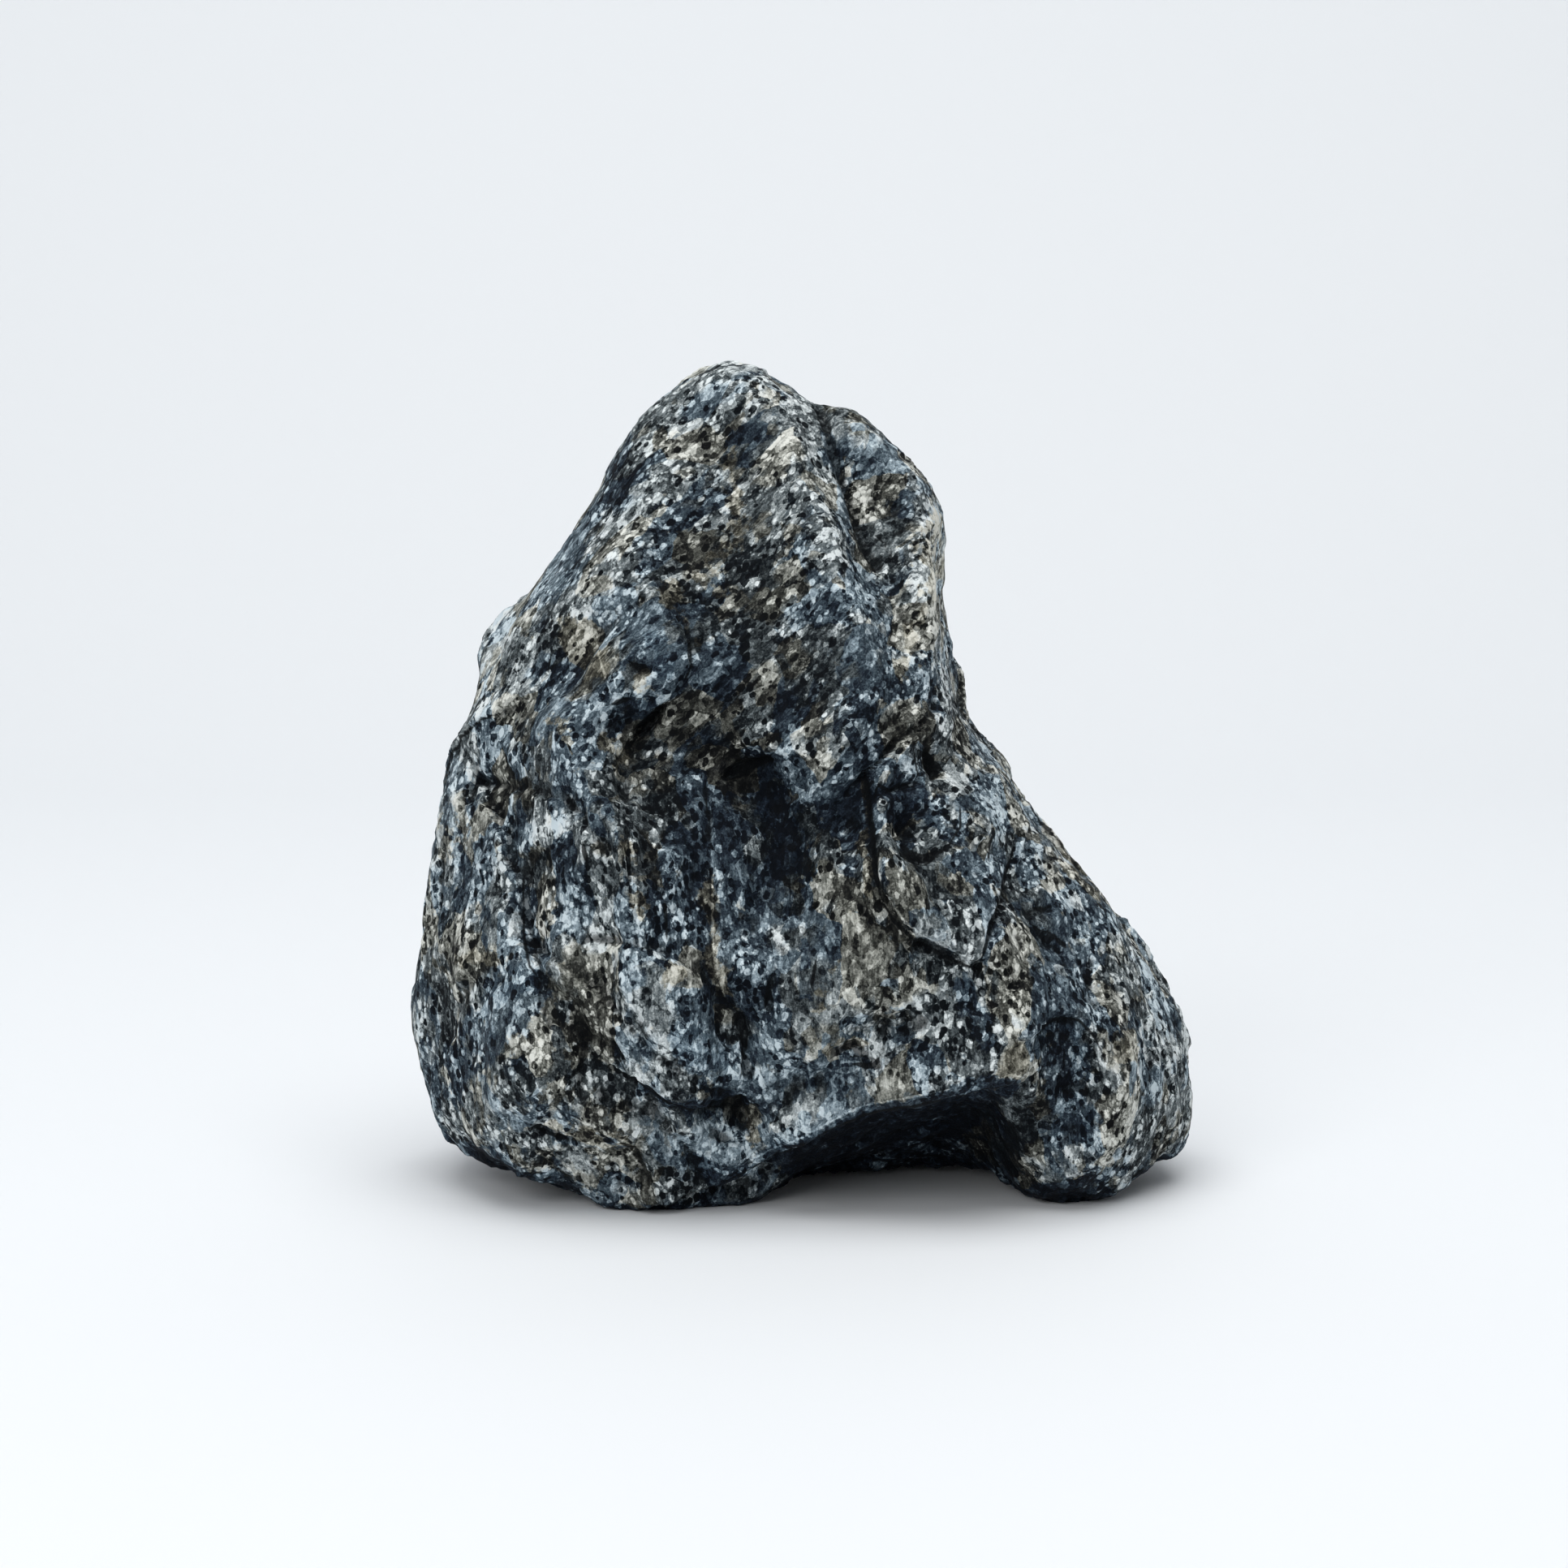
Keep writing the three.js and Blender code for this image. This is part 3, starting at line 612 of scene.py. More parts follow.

# %% Dark and navy patches
# Some dark strokes are the rock's own colour; the wide one in the central hollow and the one along the
# underside of the lip are painted shade.
DARK_AND_SHADED = [
    ("front", [(-13, 38), (-6, 36), (-2.6, 32.4), (-1.6, 29)], 5, 0.8),
    ("front", [(5.6, 58.4), (6.8, 54.4)], 2.2, 0.7),
    ("front", [(-8, 62.4), (-4.4, 61.4)], 1.6, 0.7),
    ("front", [(19.4, 14), (20.4, 11), (21.4, 8)], 3, 0.4),
    ("front", [(-6, 18.4), (-5.2, 13.4)], 1.8, 0.6),
    ("front", [(6, 33.6), (8.2, 31.4)], 1.8, 0.5),
    ("front", [(9.6, 36)], 1.8, 0.8),
    ("front", [(-21, 19.4), (-16.6, 14), (-11, 10)], 1.8, 0.4),
    ("front", [(-6, 50), (-4.6, 41)], 4, 0.3),
    ("front", [(8, 20), (13, 22)], 2, 0.3),
    ("front", [(-15, 0.2), (-7, 1), (-3, 2.4), (1, 4.4), (6, 7)], 1.8, 1.0),
    ("front", [(-11.6, 51), (-9.4, 46), (-10.4, 41.6), (-13, 38.6)], 2.2, 0.7),
    ("front", [(-10.6, 40), (-5.6, 41.4)], 2.2, 0.4),
    ("front", [(4.4, 36), (4.8, 31), (5.6, 27)], 1.4, 0.6),
    ("front", [(8.6, 33.2), (9.8, 30.6)], 2.4, 0.4),
]
NAVY = [
    ("front", [(-10, 15.4), (-7, 13)], 2.6, 0.6),
    ("front", [(-26, 14), (-22.6, 18.6)], 3.4, 0.9),
    ("front", [(12.4, 19), (13.6, 15)], 1.8, 0.7),
    ("front", [(-12, 46), (-11.4, 43.4)], 1.6, 0.8),
    ("front", [(-2.2, 32.4), (-1.4, 29)], 3, 0.7),
    ("front", [(9, 33), (12, 31)], 2.4, 0.6),
    ("front", [(-22, 10), (-19, 8)], 2.2, 0.5),
    ("front", [(19.6, 14), (20.4, 10), (21.4, 7.6)], 3.2, 0.9),
    ("front", [(-29, 31), (-28, 27)], 2, 0.5),
    ("back", [(-8, 30), (-2, 18)], 5, 0.5),
    ("right", [(2, 20), (6, 10)], 4, 0.5),
]
print("patches:", len(DARK_AND_SHADED), "dark,", len(NAVY), "navy")

# %% Wide washes
# The rock is darker in the valleys, the central hollow and under the lip, partly its own fresher tone and
# partly painted shade. It is paler on the crests and the left flank, partly weathering and partly painted
# light.
FRESH_AND_SHADED = [
    ("front", [(-5.5, 50), (-3.5, 43)], 6, 0.62),
    ("front", [(-2, 39), (5.4, 38)], 6, 0.6),
    ("front", [(-15, 31), (-4.8, 30), (1, 28)], 7, 0.9),
    ("front", [(4.6, 31), (6, 22)], 6, 0.4),
    ("front", [(-16, 43), (-8, 40), (0, 41)], 5, 0.7),
    ("front", [(1, 2.6), (11, 8), (16, 6), (16, 1)], 4, 1.5),
    ("front", [(25, 15), (28, 12)], 3.6, 0.6),
    ("front", [(13, 41), (17.4, 36)], 4, 0.8),
    ("front", [(-13, 65), (-15, 60), (-15, 56)], 3.4, 0.6),
    ("front", [(-30, 18), (-28, 14)], 4, 0.3),
]
WEATHERED_AND_LIT = [
    ("front", [(-23, 50), (-26, 45), (-29, 40)], 5, 1.0),
    ("front", [(-29, 34), (-28.6, 28), (-27.4, 23)], 6, 0.4),
    ("front", [(-19, 49), (-14, 47)], 4, 0.6),
    ("front", [(5, 57), (6, 50), (6, 45)], 3, 0.5),
    ("front", [(-6, 14), (0, 12), (5, 14)], 4, 0.5),
    ("front", [(25, 7), (24.6, 3)], 4, 0.5),
    ("front", [(9, 60), (12, 54), (12, 48)], 3.5, 1.0),
    ("front", [(-18, 24), (-13, 19), (-12, 14)], 6, 0.8),
    ("front", [(-10, 7), (-5, 6), (0, 8.6)], 4, 0.9),
    ("front", [(-24, 7), (-16, 4.4)], 6, 0.9),
    ("front", [(11, 50), (13, 45), (17, 36), (21, 29), (27, 20), (29, 8)], 6, 0.7),
]
print("washes:", len(FRESH_AND_SHADED), "fresh,", len(WEATHERED_AND_LIT), "weathered")

# %% [markdown]
# ## Thin lines
#
# Dark gaps run along the cracks, and a pale edge shows where a flake ends. They are a fifth of a
# millimetre wide, finer than the skin's squares, so they can't be painted on the skin. Instead each
# point of the skin keeps its distance to the nearest line, which changes evenly from point to point,
# and the material draws the line where that distance passes zero. The widest dark lines, in pits and
# under a ledge, are painted shadow.

# %% Gaps
GAPS_AND_SHADED_PITS = [
    # side, line, half of its width in mm
    ("front", [(4.4, 35.5), (4.6, 34.5), (5.0, 31.4), (5.2, 28.3), (5.8, 25.8)], 0.26),
    ("front", [(5.7, 26.2), (6.7, 24.5), (8.7, 22.6), (11, 21.4), (13.4, 20.4)], 0.22),
    ("front", [(16.8, 29.6), (15.4, 26.3), (14.1, 23.2), (13.3, 20.5)], 0.20),
    ("front", [(4.5, 35.3), (6.4, 34.1), (8.6, 34.7)], 0.18),
    ("front", [(8.2, 38.4), (8.4, 36.4), (8.8, 34.5)], 0.10),
    ("front", [(8.9, 36.9), (9.7, 35.6), (10.6, 35.2)], 0.52),
    ("front", [(7.2, 30.0), (8.0, 29.2), (9.1, 28.9), (10.8, 29.7)], 0.38),
    ("front", [(10.8, 29.7), (12, 31.2), (12, 33)], 0.14),
    ("front", [(-14, 44), (-13.3, 43.6), (-12.6, 43.7)], 0.32),
    ("front", [(-15.5, 40.7), (-14, 41.2)], 0.26),
    ("front", [(-13.8, 37.9), (-12.7, 38.8), (-11.3, 40.6)], 0.36),
    ("front", [(-9.4, 46.5), (-9.2, 43.6), (-10.2, 41.8)], 0.12),
    ("front", [(-26.6, 33.5), (-27.2, 32)], 0.22),
    ("front", [(-22.5, 28.6), (-22.6, 25.5), (-22.5, 22.4), (-21.9, 20.4), (-20.6, 18.6)], 0.15),
    ("front", [(-15.5, 14.7), (-14.2, 12.2), (-11.9, 10.4), (-8.8, 9.1), (-6.8, 8.9), (-5.3, 10)], 0.14),
    ("front", [(-14.2, 32), (-13.8, 28.1)], 0.12),
    ("front", [(-8.1, 34), (-7.9, 31.4)], 0.10),
    ("front", [(-5.5, 16.6), (-5.1, 13.5), (-5.3, 12.2)], 0.12),
    ("front", [(-5.9, 9), (-5.4, 7.7)], 0.40),
    ("front", [(-15.4, 19), (-14.9, 20)], 0.20),
    ("front", [(-21.6, 7.2), (-20.4, 6.7), (-19, 6.2)], 0.24),
    ("front", [(-6.6, 34.8), (-5.4, 35.4), (-4.2, 35.4)], 0.26),
    ("front", [(-5, 35.2), (-3.7, 36), (-3, 36.6)], 0.42),
    ("front", [(-1.8, 27.2), (-1.5, 26.6)], 0.36),
    ("front", [(17.4, 14.2), (18.2, 15.6), (19.8, 16.2), (21.4, 15.9), (22.6, 14.6), (23.6, 12.6)], 0.17),
    ("front", [(2, 13.6), (3, 14.4), (4.2, 14.3)], 0.30),
    ("front", [(3.4, 12.9), (5.2, 12.8), (5.6, 13.6)], 0.26),
    ("front", [(17.8, 23.1), (18.8, 21.9), (19.4, 21.5)], 0.32),
    ("front", [(19, 22.6), (20, 21.6), (20.6, 21.1)], 0.22),
    ("front", [(18, 24.3), (18.7, 24), (19.3, 24.2)], 0.24),
    ("front", [(-2.8, 20.2), (-3.1, 18.8), (-3.4, 17.4)], 0.28),
    ("front", [(7.6, 22.8), (8.4, 22.4), (9.1, 22.3)], 0.24),
    ("front", [(-7.2, 2.4), (-3.7, 4.2), (0.2, 6.6), (4, 8.7), (6.8, 9.5), (10.8, 10.4),
               (16.5, 11.7)], 0.20),
    ("front", [(14.6, 30.2), (14.2, 28.4)], 0.16),
    ("front", [(0.6, 21.4), (0.2, 19.4)], 0.20),
    ("front", [(-11.2, 26), (-11, 23)], 0.16),
    ("front", [(-17.6, 30.4), (-17.3, 28.8)], 0.24),
    ("back", [(18, 31), (8, 33), (-4, 29.4), (-14, 20)], 0.2),
    ("back", [(-6, 52), (-4, 44), (-7, 38)], 0.16),
    ("back", [(10, 24), (2, 16), (4, 8)], 0.16),
    ("left", [(-8, 40), (0, 34), (4, 22)], 0.16),
    ("right", [(10, 42), (2, 34), (-2, 20)], 0.16),
]
print("gaps:", len(GAPS_AND_SHADED_PITS))

# %% Pale edges
EDGES = [
    # side, line, half of its width in mm
    ("front", [(-13.9, 31.6), (-13.6, 28.1), (-13.4, 24.7), (-13.1, 22.9)], 0.24),
    ("front", [(-7.8, 33.9), (-7.5, 29.6), (-7.5, 24), (-7.3, 20.4)], 0.14),
    ("front", [(-7, 22.6), (-6.7, 19)], 0.34),
    ("front", [(-13.8, 37.4), (-12, 39.4), (-10.2, 41.2)], 0.22),
    ("front", [(-19, 8.6), (-16.7, 7.8), (-15, 6.4), (-13.9, 5), (-12.8, 3.4)], 0.15),
    ("front", [(-3.9, 8.6), (-4.2, 6.2)], 0.14),
    ("front", [(3.8, 35.4), (6.2, 36.7), (8, 38.2)], 0.24),
    ("front", [(4.1, 35), (4.4, 31.6)], 0.13),
    ("front", [(5.9, 27), (7.2, 25), (9.2, 23.2), (11.4, 22), (13.3, 21.2)], 0.13),
    ("front", [(12.6, 33.4), (14.6, 33), (15.6, 30.8)], 0.30),
    ("front", [(7.6, 43), (8.6, 44.4)], 0.16),
    ("front", [(2.2, 12.4), (3.8, 12.5)], 0.30),
    ("front", [(2.9, 14), (4.6, 13.7)], 0.22),
    ("front", [(-0.2, 14.6), (0.2, 11.4)], 0.14),
    ("front", [(-3.4, 24), (-1.2, 21.8)], 0.20),
    ("front", [(22.8, 12.6), (24.2, 12), (25.8, 13.4)], 0.26),
    ("front", [(28.4, 15), (25.6, 12.3), (24.6, 9)], 0.14),
    ("front", [(15.2, 12.2), (16.6, 12.2)], 0.36),
    ("front", [(-6.6, 3.6), (-3.7, 5), (0.2, 7.5), (4, 9.6), (6.8, 10.4), (10.4, 11.2),
               (14, 12.2)], 0.13),
    ("front", [(-24.8, 31), (-24, 30.2)], 0.30),
    ("front", [(-17, 45.6), (-15.4, 41.2)], 0.12),
    ("back", [(8, 40), (6, 30)], 0.2),
    ("back", [(-12, 40), (-10, 30)], 0.16),
    ("left", [(2, 30), (3, 18)], 0.16),
    ("right", [(4, 30), (2, 16)], 0.16),
]
print("pale edges:", len(EDGES))

# %% Distance to the lines
LINE_SPAN = 4  # mm, the span of distances that a mask from 0 to 1 holds


def thin_lines(lines):
    """For each point: its distance to the nearest line, negative on one bank, and half the line's width."""
    best, signed, half = np.full(len(places), FAR), np.full(len(places), FAR), np.zeros(len(places))
    for side, line, half_width in lines:
        a, b, towards = seen_from(side, places, facing)
        last = len(line) - 1
        for i, (start, end) in enumerate(pieces(line)):
            t, gap, bank = to_piece(a, b, start, end)
            from_tip = np.minimum(i + t, last - i - t) / last
            here = half_width * np.minimum(1, 3.2 * from_tip + 0.25)
            closer = (towards > 0.1) & (gap - here < best)
            best = np.where(closer, gap - here, best)
            signed = np.where(closer, np.sign(bank) * gap, signed)
            half = np.where(closer, here * ramp(1.2, 0.7, gap), half)
    return 0.5 + signed / LINE_SPAN, half


gap_lines, edge_lines = thin_lines(GAPS_AND_SHADED_PITS), thin_lines(EDGES)
print("points near a gap:", int((gap_lines[1] > 0).sum()), "near an edge:", int((edge_lines[1] > 0).sum()))

# %% [markdown]
# ## Masks on the skin
#
# The masks come together here and are kept on the skin as colour attributes, four numbers in each. A
# painted image would need the skin unwrapped flat, with seams. An attribute needs neither, and it moves
# with the piece.

# %% How light the rock is
frayed_places = places + 0.8 * wobble
tan, pale, dark, navy = (brushed(strokes, frayed_places) for strokes in (TAN, PALE, DARK_AND_SHADED, NAVY))
white = brushed(WHITE, places + 0.3 * wobble)
wash = brushed(WEATHERED_AND_LIT, places) - brushed(FRESH_AND_SHADED, places)
# Painted shade: skin that faces down is darkened in the colour, as it lies in shade.
under = ramp(0.45, 0.8, -plain_facing[:, 2])

RIGHT_CREST = [(6, 62.6), (10, 57), (11, 50), (12.4, 42), (17, 34), (22, 27)]
# Partly dust, partly painted light: skin that faces up, the top of the stone and the right crest are made
# paler, where the overhead light falls.
dust_and_top_light = 0.8 * ramp(0.25, 0.85, plain_facing[:, 2]) * ramp(20, 50, places[:, 2])
dust_and_top_light = np.maximum(dust_and_top_light + 0.3 * ramp(60, 66, places[:, 2]), stroke("front", RIGHT_CREST, 2.8, places, facing))

# The colour patches are summed here with painted light and shade: paler on proud skin and where it faces up,
# darker in hollows, beside cracks and on the underside.
patches_and_painted_light = wash + 0.8 * pale + 0.2 * tan + 0.45 * dust_and_top_light + 0.2 * ramp(0.15, 0.9, -hollow)
patches_and_painted_light -= 0.9 * dark + 0.3 * navy + 1.2 * under + 0.5 * ramp(0.15, 1.1, hollow) + 0.4 * shade_beside_crack
print("light share from", patches_and_painted_light.min().round(2), "to", patches_and_painted_light.max().round(2))

# %% Kept masks
DIP_SPAN = 0.5  # mm, the span of dips that a mask from 0 to 1 holds


def keep(name, *channels):
    """Keeps up to four masks on the skin, as one colour attribute that the material reads."""
    filled = [np.clip(c, 0, 1) for c in channels] + [np.zeros(len(places))] * (4 - len(channels))
    layer = stone.data.attributes.new(name, "FLOAT_COLOR", "POINT")
    layer.data.foreach_set("color", np.stack(filled, 1).astype(np.float32).ravel())


drift = wander(places, 6.5, 21) + 0.5 * wander(places, 2.8, 22)
stain = wander(frayed_places, 4.6, 23) + 0.5 * wander(places, 1.8, 24)
blue = wander(frayed_places, 5.2, 25) + 0.5 * wander(places, 2.2, 26)
crowd = wander(places, 3.4, 27)
# The second channel holds the navy patches together with painted shade on the down-facing skin.
keep("patches", tan, np.maximum(navy, 0.8 * under), 0.5 + 0.5 * crowd, 0.5 + dip / DIP_SPAN)
keep("lines", *gap_lines, *edge_lines)
# The second channel of the marks is the painted shade on the down-facing skin.
keep("marks", white, under)
# The second channel of the zones holds the patches with their painted light and shade, and a slow random
# drift.
keep("zones", upper, 0.5 + 0.35 * patches_and_painted_light + 0.17 * drift, 0.5 + 0.5 * stain, 0.5 + 0.5 * blue)
print("masks:", [layer.name for layer in stone.data.attributes if layer.data_type == "FLOAT_COLOR"])

# %% [markdown]
# ## The rock
#
# Close up, the rock is a felt of grains: white and pale blue feldspar, black specks, blue-grey matrix,
# olive and tan stains, all drawn out along the grain. A photograph wrapped round it would be quick, but
# would show one side only and stretch on the others. Here each scale is a pattern of its own in solid
# space, like real rock, so any side, and any chip, shows the right grain.
#
# The nodes are written as sums. A small class wraps a socket, so that an expression such as
# `0.5 * speck + 0.2` adds the Math nodes that it needs.

# %% Shader sums
rock = bpy.data.materials.new("labradorite_rock")
rock.use_nodes = True
tree = rock.node_tree
shader = tree.nodes["Principled BSDF"]


class Wire:
    """A socket of the rock's node tree, with arithmetic."""

    def __init__(self, socket):
        self.socket = socket

    def __add__(self, other):
        return maths("ADD", self, other)

    def __sub__(self, other):
        return maths("SUBTRACT", self, other)

    def __rsub__(self, other):
        return maths("SUBTRACT", other, self)

    def __mul__(self, other):
        return maths("MULTIPLY", self, other)

    __radd__ = __add__
    __rmul__ = __mul__


def add_node(kind, settings, *inputs, output=0, **named):
    """Adds a node: its settings first, then what goes into its sockets, in order or by name."""
    made = tree.nodes.new(kind)
    for key, value in settings.items():
        if key == "stops":
            while len(made.color_ramp.elements) < len(value):
                made.color_ramp.elements.new(1)
            for element, (place, colour) in zip(made.color_ramp.elements, value):
                element.position = place
                element.color = colour
        else:
            setattr(made, key, value)
    sockets = dict(enumerate(inputs))
    sockets.update({key.replace("_", " "): value for key, value in named.items()})
    for key, value in sockets.items():
        if isinstance(value, Wire):
            tree.links.new(value.socket, made.inputs[key])
        else:
            made.inputs[key].default_value = value
    return Wire(made.outputs[output])


def maths(operation, *inputs):
    return add_node("ShaderNodeMath", {"operation": operation}, *inputs)


def vectors(operation, *inputs, **rest):
    return add_node("ShaderNodeVectorMath", {"operation": operation}, *inputs, **rest)


def between(low, high, value):
    """0 at low, 1 at high, and a smooth rise between. Low may be the larger of the two."""
    return add_node("ShaderNodeMapRange", {"interpolation_type": "SMOOTHSTEP"}, value, low, high, 0.0, 1.0)


print("sums ready:", len(tree.nodes), "nodes")

# %% Colours and patterns
def channel(colour, index):
    """Red, green or blue of a colour, as a number."""
    return add_node("ShaderNodeSeparateColor", {}, colour, output=index)


def mix(amount, first, second):
    """One colour laid over another by the amount."""
    made = tree.nodes.new("ShaderNodeMix")
    made.data_type = "RGBA"
    for name, value in (("Factor_Float", amount), ("A_Color", first), ("B_Color", second)):
        socket = next(s for s in made.inputs if s.identifier == name)
        if isinstance(value, Wire):
            tree.links.new(value.socket, socket)
        else:
            socket.default_value = value
    return Wire(next(s for s in made.outputs if s.identifier == "Result_Color"))


def cloud(vector, wave, detail=2.0, rough=0.5, output=0):
    """Soft noise with the given wave length in mm: output 0 is a number, 1 a colour."""
    return add_node(
        "ShaderNodeTexNoise", {}, vector, output=output, Scale=1 / wave, Detail=detail, Roughness=rough
    )


def cells(vector, size, output=0, feature="F1"):
    """Cells of the given size in mm: output 0 is a distance, 1 a random colour, 2 the cell's middle."""
    return add_node(
        "ShaderNodeTexVoronoi", {"feature": feature}, vector, output=output, Scale=1 / size, Randomness=1.0
    )


def moved(vector, by):
    return vectors("ADD", vector, by)


print("patterns ready:", len(tree.nodes), "nodes")

# %% Where the patterns sit
CENTRED = (-0.5, -0.5, -0.5)


def shaken(vector, wave, reach):
    """The places, each moved a little at random, so that straight edges turn ragged."""
    jitter = moved(cloud(vector, wave, 2.0, 0.6, output=1), CENTRED)
    return moved(vector, vectors("SCALE", jitter, Scale=2 * reach))


def kept_masks(name):
    """The four numbers of one of the skin's colour attributes."""
    settings = {"attribute_type": "GEOMETRY", "attribute_name": name}
    colour = add_node("ShaderNodeAttribute", settings)
    fourth = add_node("ShaderNodeAttribute", settings, output=3)
    return channel(colour, 0), channel(colour, 1), channel(colour, 2), fourth


object_place = add_node("ShaderNodeTexCoord", {}, output="Object")
in_mm = vectors("SCALE", object_place, Scale=1 / MM)
ragged = shaken(in_mm, wave=0.30, reach=0.10)
very_ragged = shaken(in_mm, wave=0.34, reach=0.15)
tan_patch, navy_and_underside_shade, black_share, dip_mask = kept_masks("patches")
upper_share, region, stain_mask, blue_mask = kept_masks("zones")
gap_place, gap_half, edge_place, edge_half = kept_masks("lines")
white_patch, underside_shade = kept_masks("marks")[:2]
print("nodes so far:", len(tree.nodes))

# %% Along the grain
# The two halves meet in a ragged border. On each side of it the whole pattern is laid in one direction:
# a blend of two directions would smear the grains.
LOWER_TURN = math.radians(4)
UPPER_TURN = math.radians(-44)

border = upper_share + 0.8 * (cloud(in_mm, 2.4, 3.0) - 0.5)
upper_half = maths("GREATER_THAN", border, 0.5)


def drawn_out(vector, lean, stretch):
    """The grain's own space: turned so that the grain runs up, then squeezed along it."""
    turned = add_node("ShaderNodeMapping", {}, vector, Rotation=(0.15, lean, 0))
    return vectors("MULTIPLY", turned, (1, 1, 1 / stretch))


def along(pattern, stretch, base=ragged):
    """A pattern that runs along the slanting grain in the upper half, and along the upright one below."""
    upright = drawn_out(base, LOWER_TURN, stretch)
    slanting = drawn_out(base, UPPER_TURN, stretch)
    turn = vectors("SUBTRACT", slanting, upright)
    return pattern(moved(upright, vectors("SCALE", turn, Scale=upper_half)))


print("nodes so far:", len(tree.nodes))

# %% [markdown]
# ## Grains, specks and flakes
#
# Four kinds of thing make up the rock, each drawn by cells. Flakes, 3 mm long, differ in tone and tint.
# Grains, half a millimetre to one, fill them. Black and white specks are spots of uneven size, each in a
# cell of its own. Frost is the same, but finer. Soft noise alone would look like smoke: the cells give
# each grain an edge.

# %% Grains and specks
# Sizes in mm
GRAIN = 0.95
SMALL_GRAIN = 0.50
BLACK_SPECK = 0.66
WHITE_SPECK = 0.62
FROST = 0.36


def specks(vector, size, share, radius, seed):
    """Small spots of uneven size, one in a share of the cells of the given size."""
    place = moved(vector, (seed, 3 * seed, 7 * seed))
    own = cells(place, size, output=1)
    chosen = between(1.0, 0.98, channel(own, 0) + share)
    reach = radius * (0.6 + 0.8 * channel(own, 1))
    return (1 - chosen) * between(0.06, -0.04, cells(place, size) - reach)


fine = cloud(in_mm, 0.18, 3.0, 0.8)
fibres = along(lambda place: cloud(place, 0.26, 3.0, 0.7), 5.0, in_mm)
blotches = along(lambda place: cloud(place, 0.9, 5.0, 0.72), 1.4)
crowding = cloud(moved(in_mm, (31, 7, 3)), 3.6, 2.0, 0.6) - 0.5
# region, and bright made from it, carry the painted light and shade as well as the patches; white specks and
# frost gather where it is brighter.
bright = region - 0.5

grain_colour = along(lambda place: cells(place, GRAIN, output=1), 1.5)
big_grains, grain_tint = channel(grain_colour, 0), channel(grain_colour, 1)
small_grains = channel(along(lambda place: cells(moved(place, (5, 5, 5)), SMALL_GRAIN, output=1), 1.4), 0)

black_cells = 0.36 + 1.0 * (black_share - 0.5) + 1.2 * crowding
white_cells = 0.34 + 0.9 * crowding + 0.8 * bright
black_specks = along(lambda place: specks(place, BLACK_SPECK, black_cells, radius=0.40, seed=5), 1.35)
white_specks = along(
    lambda place: specks(place, WHITE_SPECK, white_cells, radius=0.38, seed=9), 1.4, very_ragged
)
frost = along(lambda place: specks(place, FROST, 0.30 + 0.9 * bright, radius=0.38, seed=13), 1.4)
print("nodes so far:", len(tree.nodes))

# %% Flakes
FLAKE = 3.2
FLAKE_STRETCH = 1.8

flake_place = shaken(in_mm, wave=1.7, reach=0.50)
flake_colour = along(lambda place: cells(place, FLAKE, output=1), FLAKE_STRETCH, flake_place)
flake_tone, flake_tint, flake_coarseness = (channel(flake_colour, i) for i in range(3))
flake_edge = along(lambda place: cells(place, FLAKE, 0, "DISTANCE_TO_EDGE"), FLAKE_STRETCH, flake_place)
bright_rims = between(0.035, 0.015, flake_edge) * between(0.52, 0.60, blotches)
dark_rims = between(0.050, 0.020, flake_edge) * between(0.47, 0.40, blotches)
print("nodes so far:", len(tree.nodes))

# %% Thin lines drawn
unsure = 0.30 * (cloud(moved(in_mm, (3, 11, 5)), 0.7, 3.0, 0.7) - 0.5)


def drawn(place, half):
    """A thin line, 1 in its middle, with a ragged edge."""
    off = maths("ABSOLUTE", LINE_SPAN * (place - 0.5))
    return between(0.03, -0.10, off - half + unsure) * between(0.02, 0.08, half)


gap_and_pit_shade = drawn(gap_place, gap_half)
edge_line = drawn(edge_place, edge_half)
print("nodes so far:", len(tree.nodes))

# %% [markdown]
# ## Tone and colour
#
# All these patterns add up to one number, the tone, from black to white. Three colour ramps turn it into
# grey, tan or blue rock, and masks choose between them. To mix ready colours would be simpler, but pale
# tan and dark tan are different colours in a real feldspar, not one colour in more or less light.

# %% Tone
level = 0.40 * bright + 0.17 * (flake_tone - 0.5)
loud = between(0.10, 0.45, flake_coarseness)
feather = 0.8 * (fibres - 0.5) + 0.9 * (fine - 0.5)
cluster = 0.30 * crowding + 0.2 * (blotches - 0.5)
grain_shift = cluster + 0.8 * level + 0.10 * feather
pale_grains = between(0.75, 0.77, big_grains + cluster + 0.9 * level + 0.08 * feather)
light_grains = between(0.73, 0.76, small_grains + grain_shift)
dark_grains = between(0.24, 0.21, small_grains + grain_shift)
contrast = 0.24 * pale_grains + 0.16 * light_grains - 0.20 * dark_grains
contrast = contrast + 0.44 * white_specks + 0.28 * frost - (0.42 + 0.16 * big_grains) * black_specks

white_crumbs = 0.45 * white_patch + 0.9 * (blotches - 0.5) + 0.20 * (small_grains - 0.5) + 0.24
tone = 0.336 + level + 0.94 * feather + 0.10 * (blotches - 0.5) + 0.14 * (big_grains - 0.5)
tone = tone + (0.50 + 0.50 * loud) * contrast
# Painted highlight: proud edges, found by the dips, are made paler.
tone = tone + 0.12 * between(0.47, 0.25, dip_mask) + 0.13 * bright_rims - 0.20 * dark_rims
# Painted shade: the down-facing skin is made darker.
tone = tone + 0.26 * edge_line + 0.27 * between(0.50, 0.56, white_crumbs) - 0.06 * underside_shade
print("nodes so far:", len(tree.nodes))

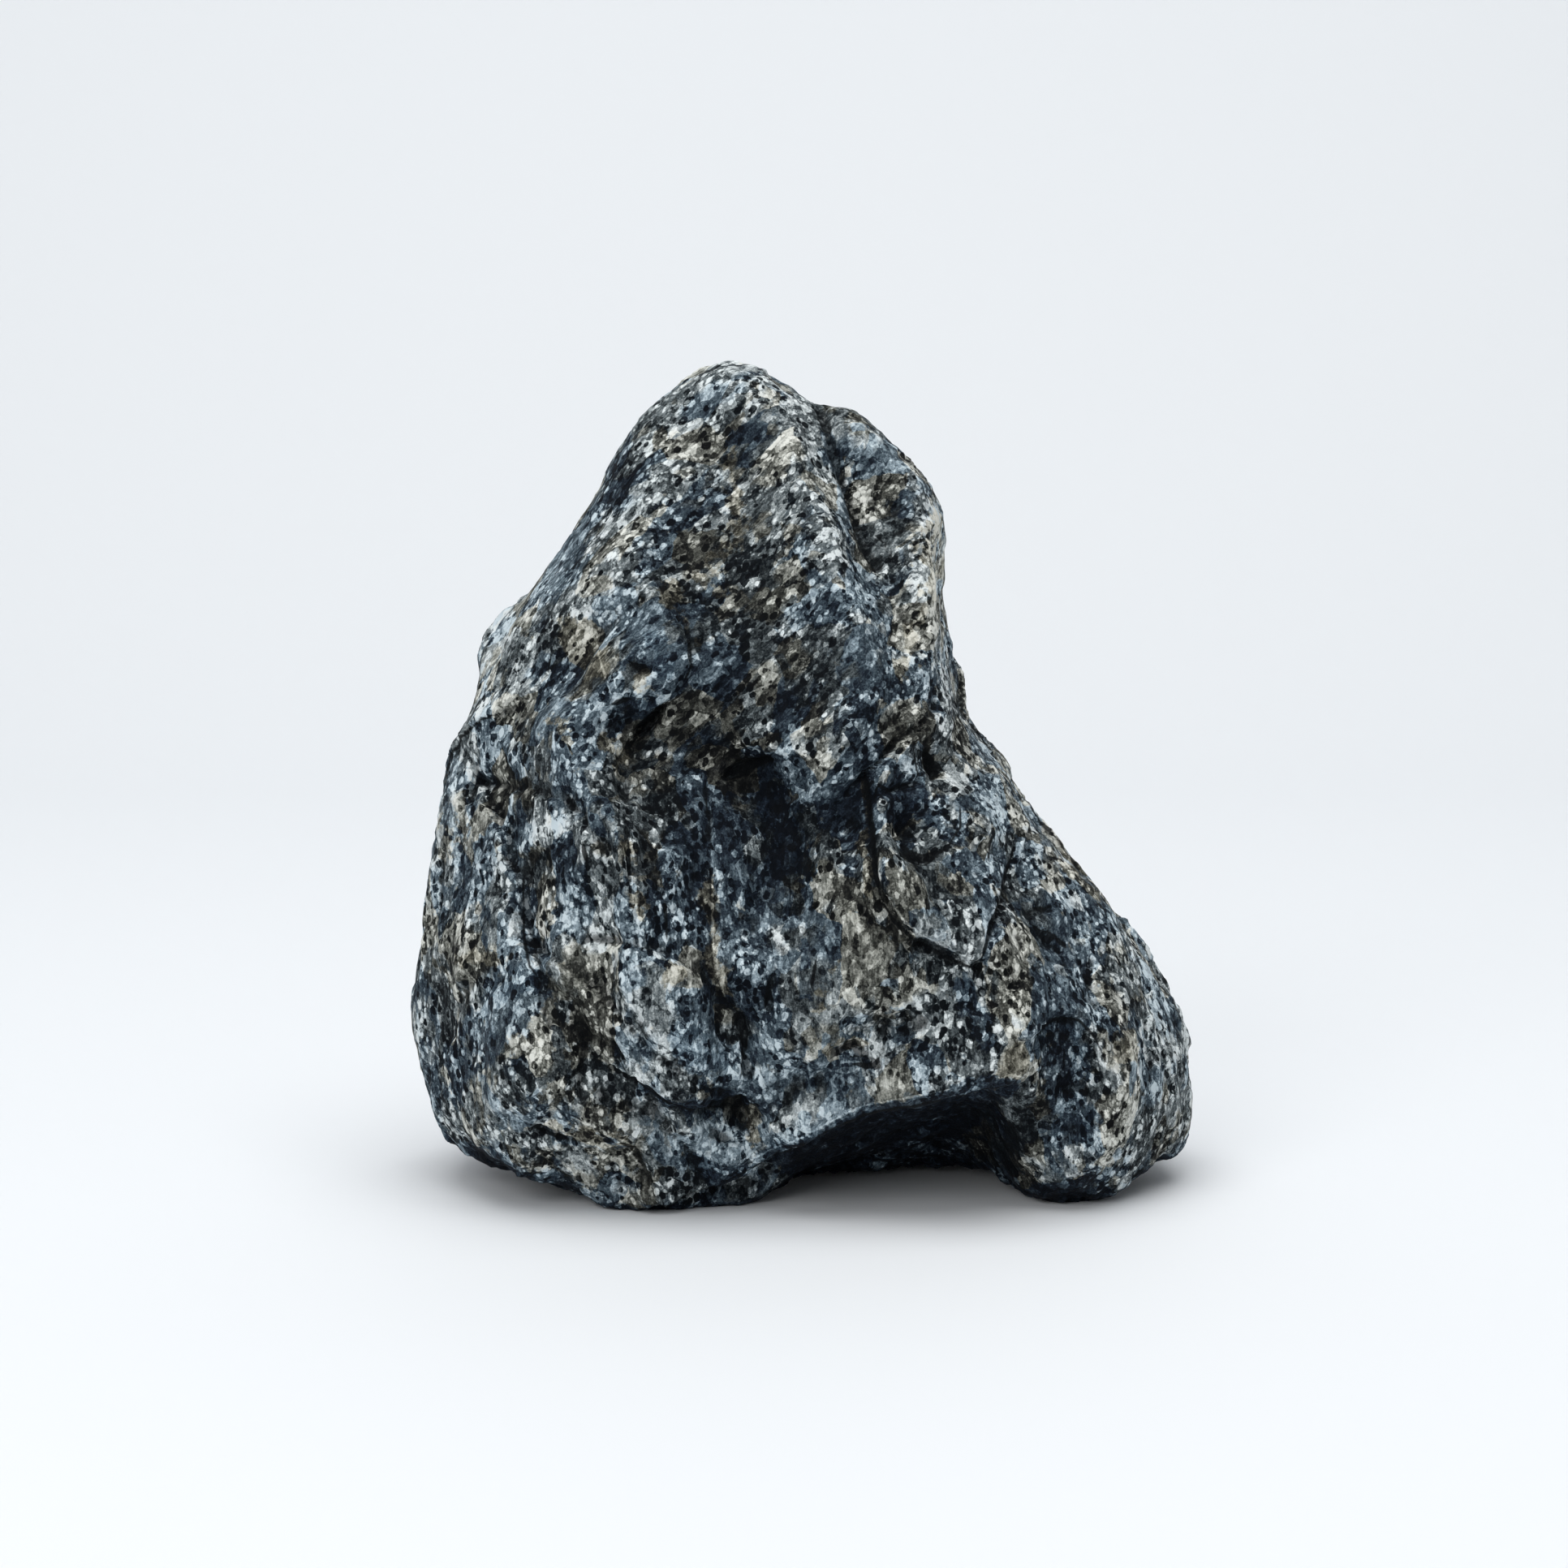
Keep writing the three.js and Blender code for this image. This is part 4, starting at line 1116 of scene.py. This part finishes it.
# %% Colours
GREYS = [
    (0.00, (0.0018, 0.0031, 0.0046, 1)),
    (0.16, (0.0088, 0.0128, 0.0160, 1)),
    (0.32, (0.0430, 0.0515, 0.0545, 1)),
    (0.48, (0.1120, 0.1346, 0.1430, 1)),
    (0.64, (0.2700, 0.3009, 0.3050, 1)),
    (0.80, (0.5000, 0.5457, 0.5550, 1)),
    (1.00, (0.7800, 0.8262, 0.8300, 1)),
]
TANS = [
    (0.00, (0.0045, 0.0046, 0.0042, 1)),
    (0.25, (0.0380, 0.0357, 0.0270, 1)),
    (0.45, (0.1400, 0.1350, 0.1050, 1)),
    (0.70, (0.4080, 0.3940, 0.3240, 1)),
    (1.00, (0.7650, 0.7440, 0.6500, 1)),
]
BLUES = [
    (0.00, (0.0014, 0.0030, 0.0062, 1)),
    (0.25, (0.0120, 0.0204, 0.0340, 1)),
    (0.50, (0.0600, 0.0918, 0.1180, 1)),
    (0.75, (0.2450, 0.3264, 0.3850, 1)),
    (1.00, (0.6000, 0.7038, 0.7600, 1)),
]
GAP_AND_SHADE_BLACK = (0.0015, 0.0022, 0.0030, 1)


def coloured(stops):
    return add_node("ShaderNodeValToRGB", {"stops": stops}, tone)


def frayed(patch, seed):
    """A brushed patch with its edge broken up by the grain."""
    crumbs = cloud(moved(ragged, (seed, seed, seed)), 1.5, 3.0, 0.65)
    return between(0.50, 0.58, patch * 0.42 + crumbs * 0.75)


olive_share = between(0.58, 0.64, 0.42 * stain_mask + 0.44 * flake_tint + 0.14 * grain_tint)
blue_share = between(0.50, 0.58, 0.44 * blue_mask + 0.42 * (1 - flake_tint) + 0.14 * (1 - grain_tint))
blue_rock, tan_rock = coloured(BLUES), coloured(TANS)
colour = mix(0.80 * blue_share, coloured(GREYS), blue_rock)
colour = mix(0.60 * olive_share, colour, tan_rock)
# Navy patches, and painted shade on the down-facing skin, turn the rock to the darker blue ramp.
colour = mix(0.85 * frayed(navy_and_underside_shade, 5), colour, blue_rock)
colour = mix(0.85 * frayed(tan_patch, 9), colour, tan_rock)

# Painted shade: creases, the deepest dips, are mixed toward black together with the dark gap lines.
shade = maths("MAXIMUM", 0.75 * between(0.60, 0.85, dip_mask), 0.93 * gap_and_pit_shade)
colour = mix(shade, colour, GAP_AND_SHADE_BLACK)
print("nodes so far:", len(tree.nodes))

# %% [markdown]
# ## Finish
#
# A rough feldspar is dull from afar, but its small flats catch the light one by one. The skin has the
# steps down to about a millimetre. Smaller chips are bump only: facets, each with a tilt of its own,
# because soft noise as bump would look like plaster.

# %% Finish
def facets(vector, size, tilt, step):
    """Small flats, each with a tilt and a height of its own, in mm."""
    own, middle = cells(vector, size, output=1), cells(vector, size, output=2)
    slope = vectors("DOT_PRODUCT", moved(own, CENTRED), vectors("SUBTRACT", vector, middle), output=1)
    return 2 * tilt * slope + step * channel(own, 0)


CHIP = 1.5
SMALL_CHIP = 0.62

chip_place = shaken(in_mm, wave=0.90, reach=0.10)
chips = along(lambda place: facets(place, CHIP, tilt=0.32, step=0.12), 1.7, chip_place)
small_chips = along(
    lambda place: facets(moved(place, (3, 3, 3)), SMALL_CHIP, tilt=0.35, step=0.06), 1.5, chip_place
)
height = chips + small_chips + 0.30 * flake_tone + 0.10 * fibres + 0.06 * fine + 0.06 * blotches
grit = add_node("ShaderNodeBump", {}, Strength=1.0, Distance=MM, Height=height)
rough = 0.82 - 0.16 * between(0.30, 0.75, tone) - 0.12 * navy_and_underside_shade

for name, wire in (("Base Color", colour), ("Roughness", rough), ("Normal", grit)):
    tree.links.new(wire.socket, shader.inputs[name])
shader.inputs["Specular IOR Level"].default_value = 0.10

stone.data.materials.clear()
stone.data.materials.append(rock)
print("rock:", len(tree.nodes), "nodes")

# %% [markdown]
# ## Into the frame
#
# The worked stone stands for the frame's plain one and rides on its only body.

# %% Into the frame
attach(stone, "root")
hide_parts("labradorite_stone")
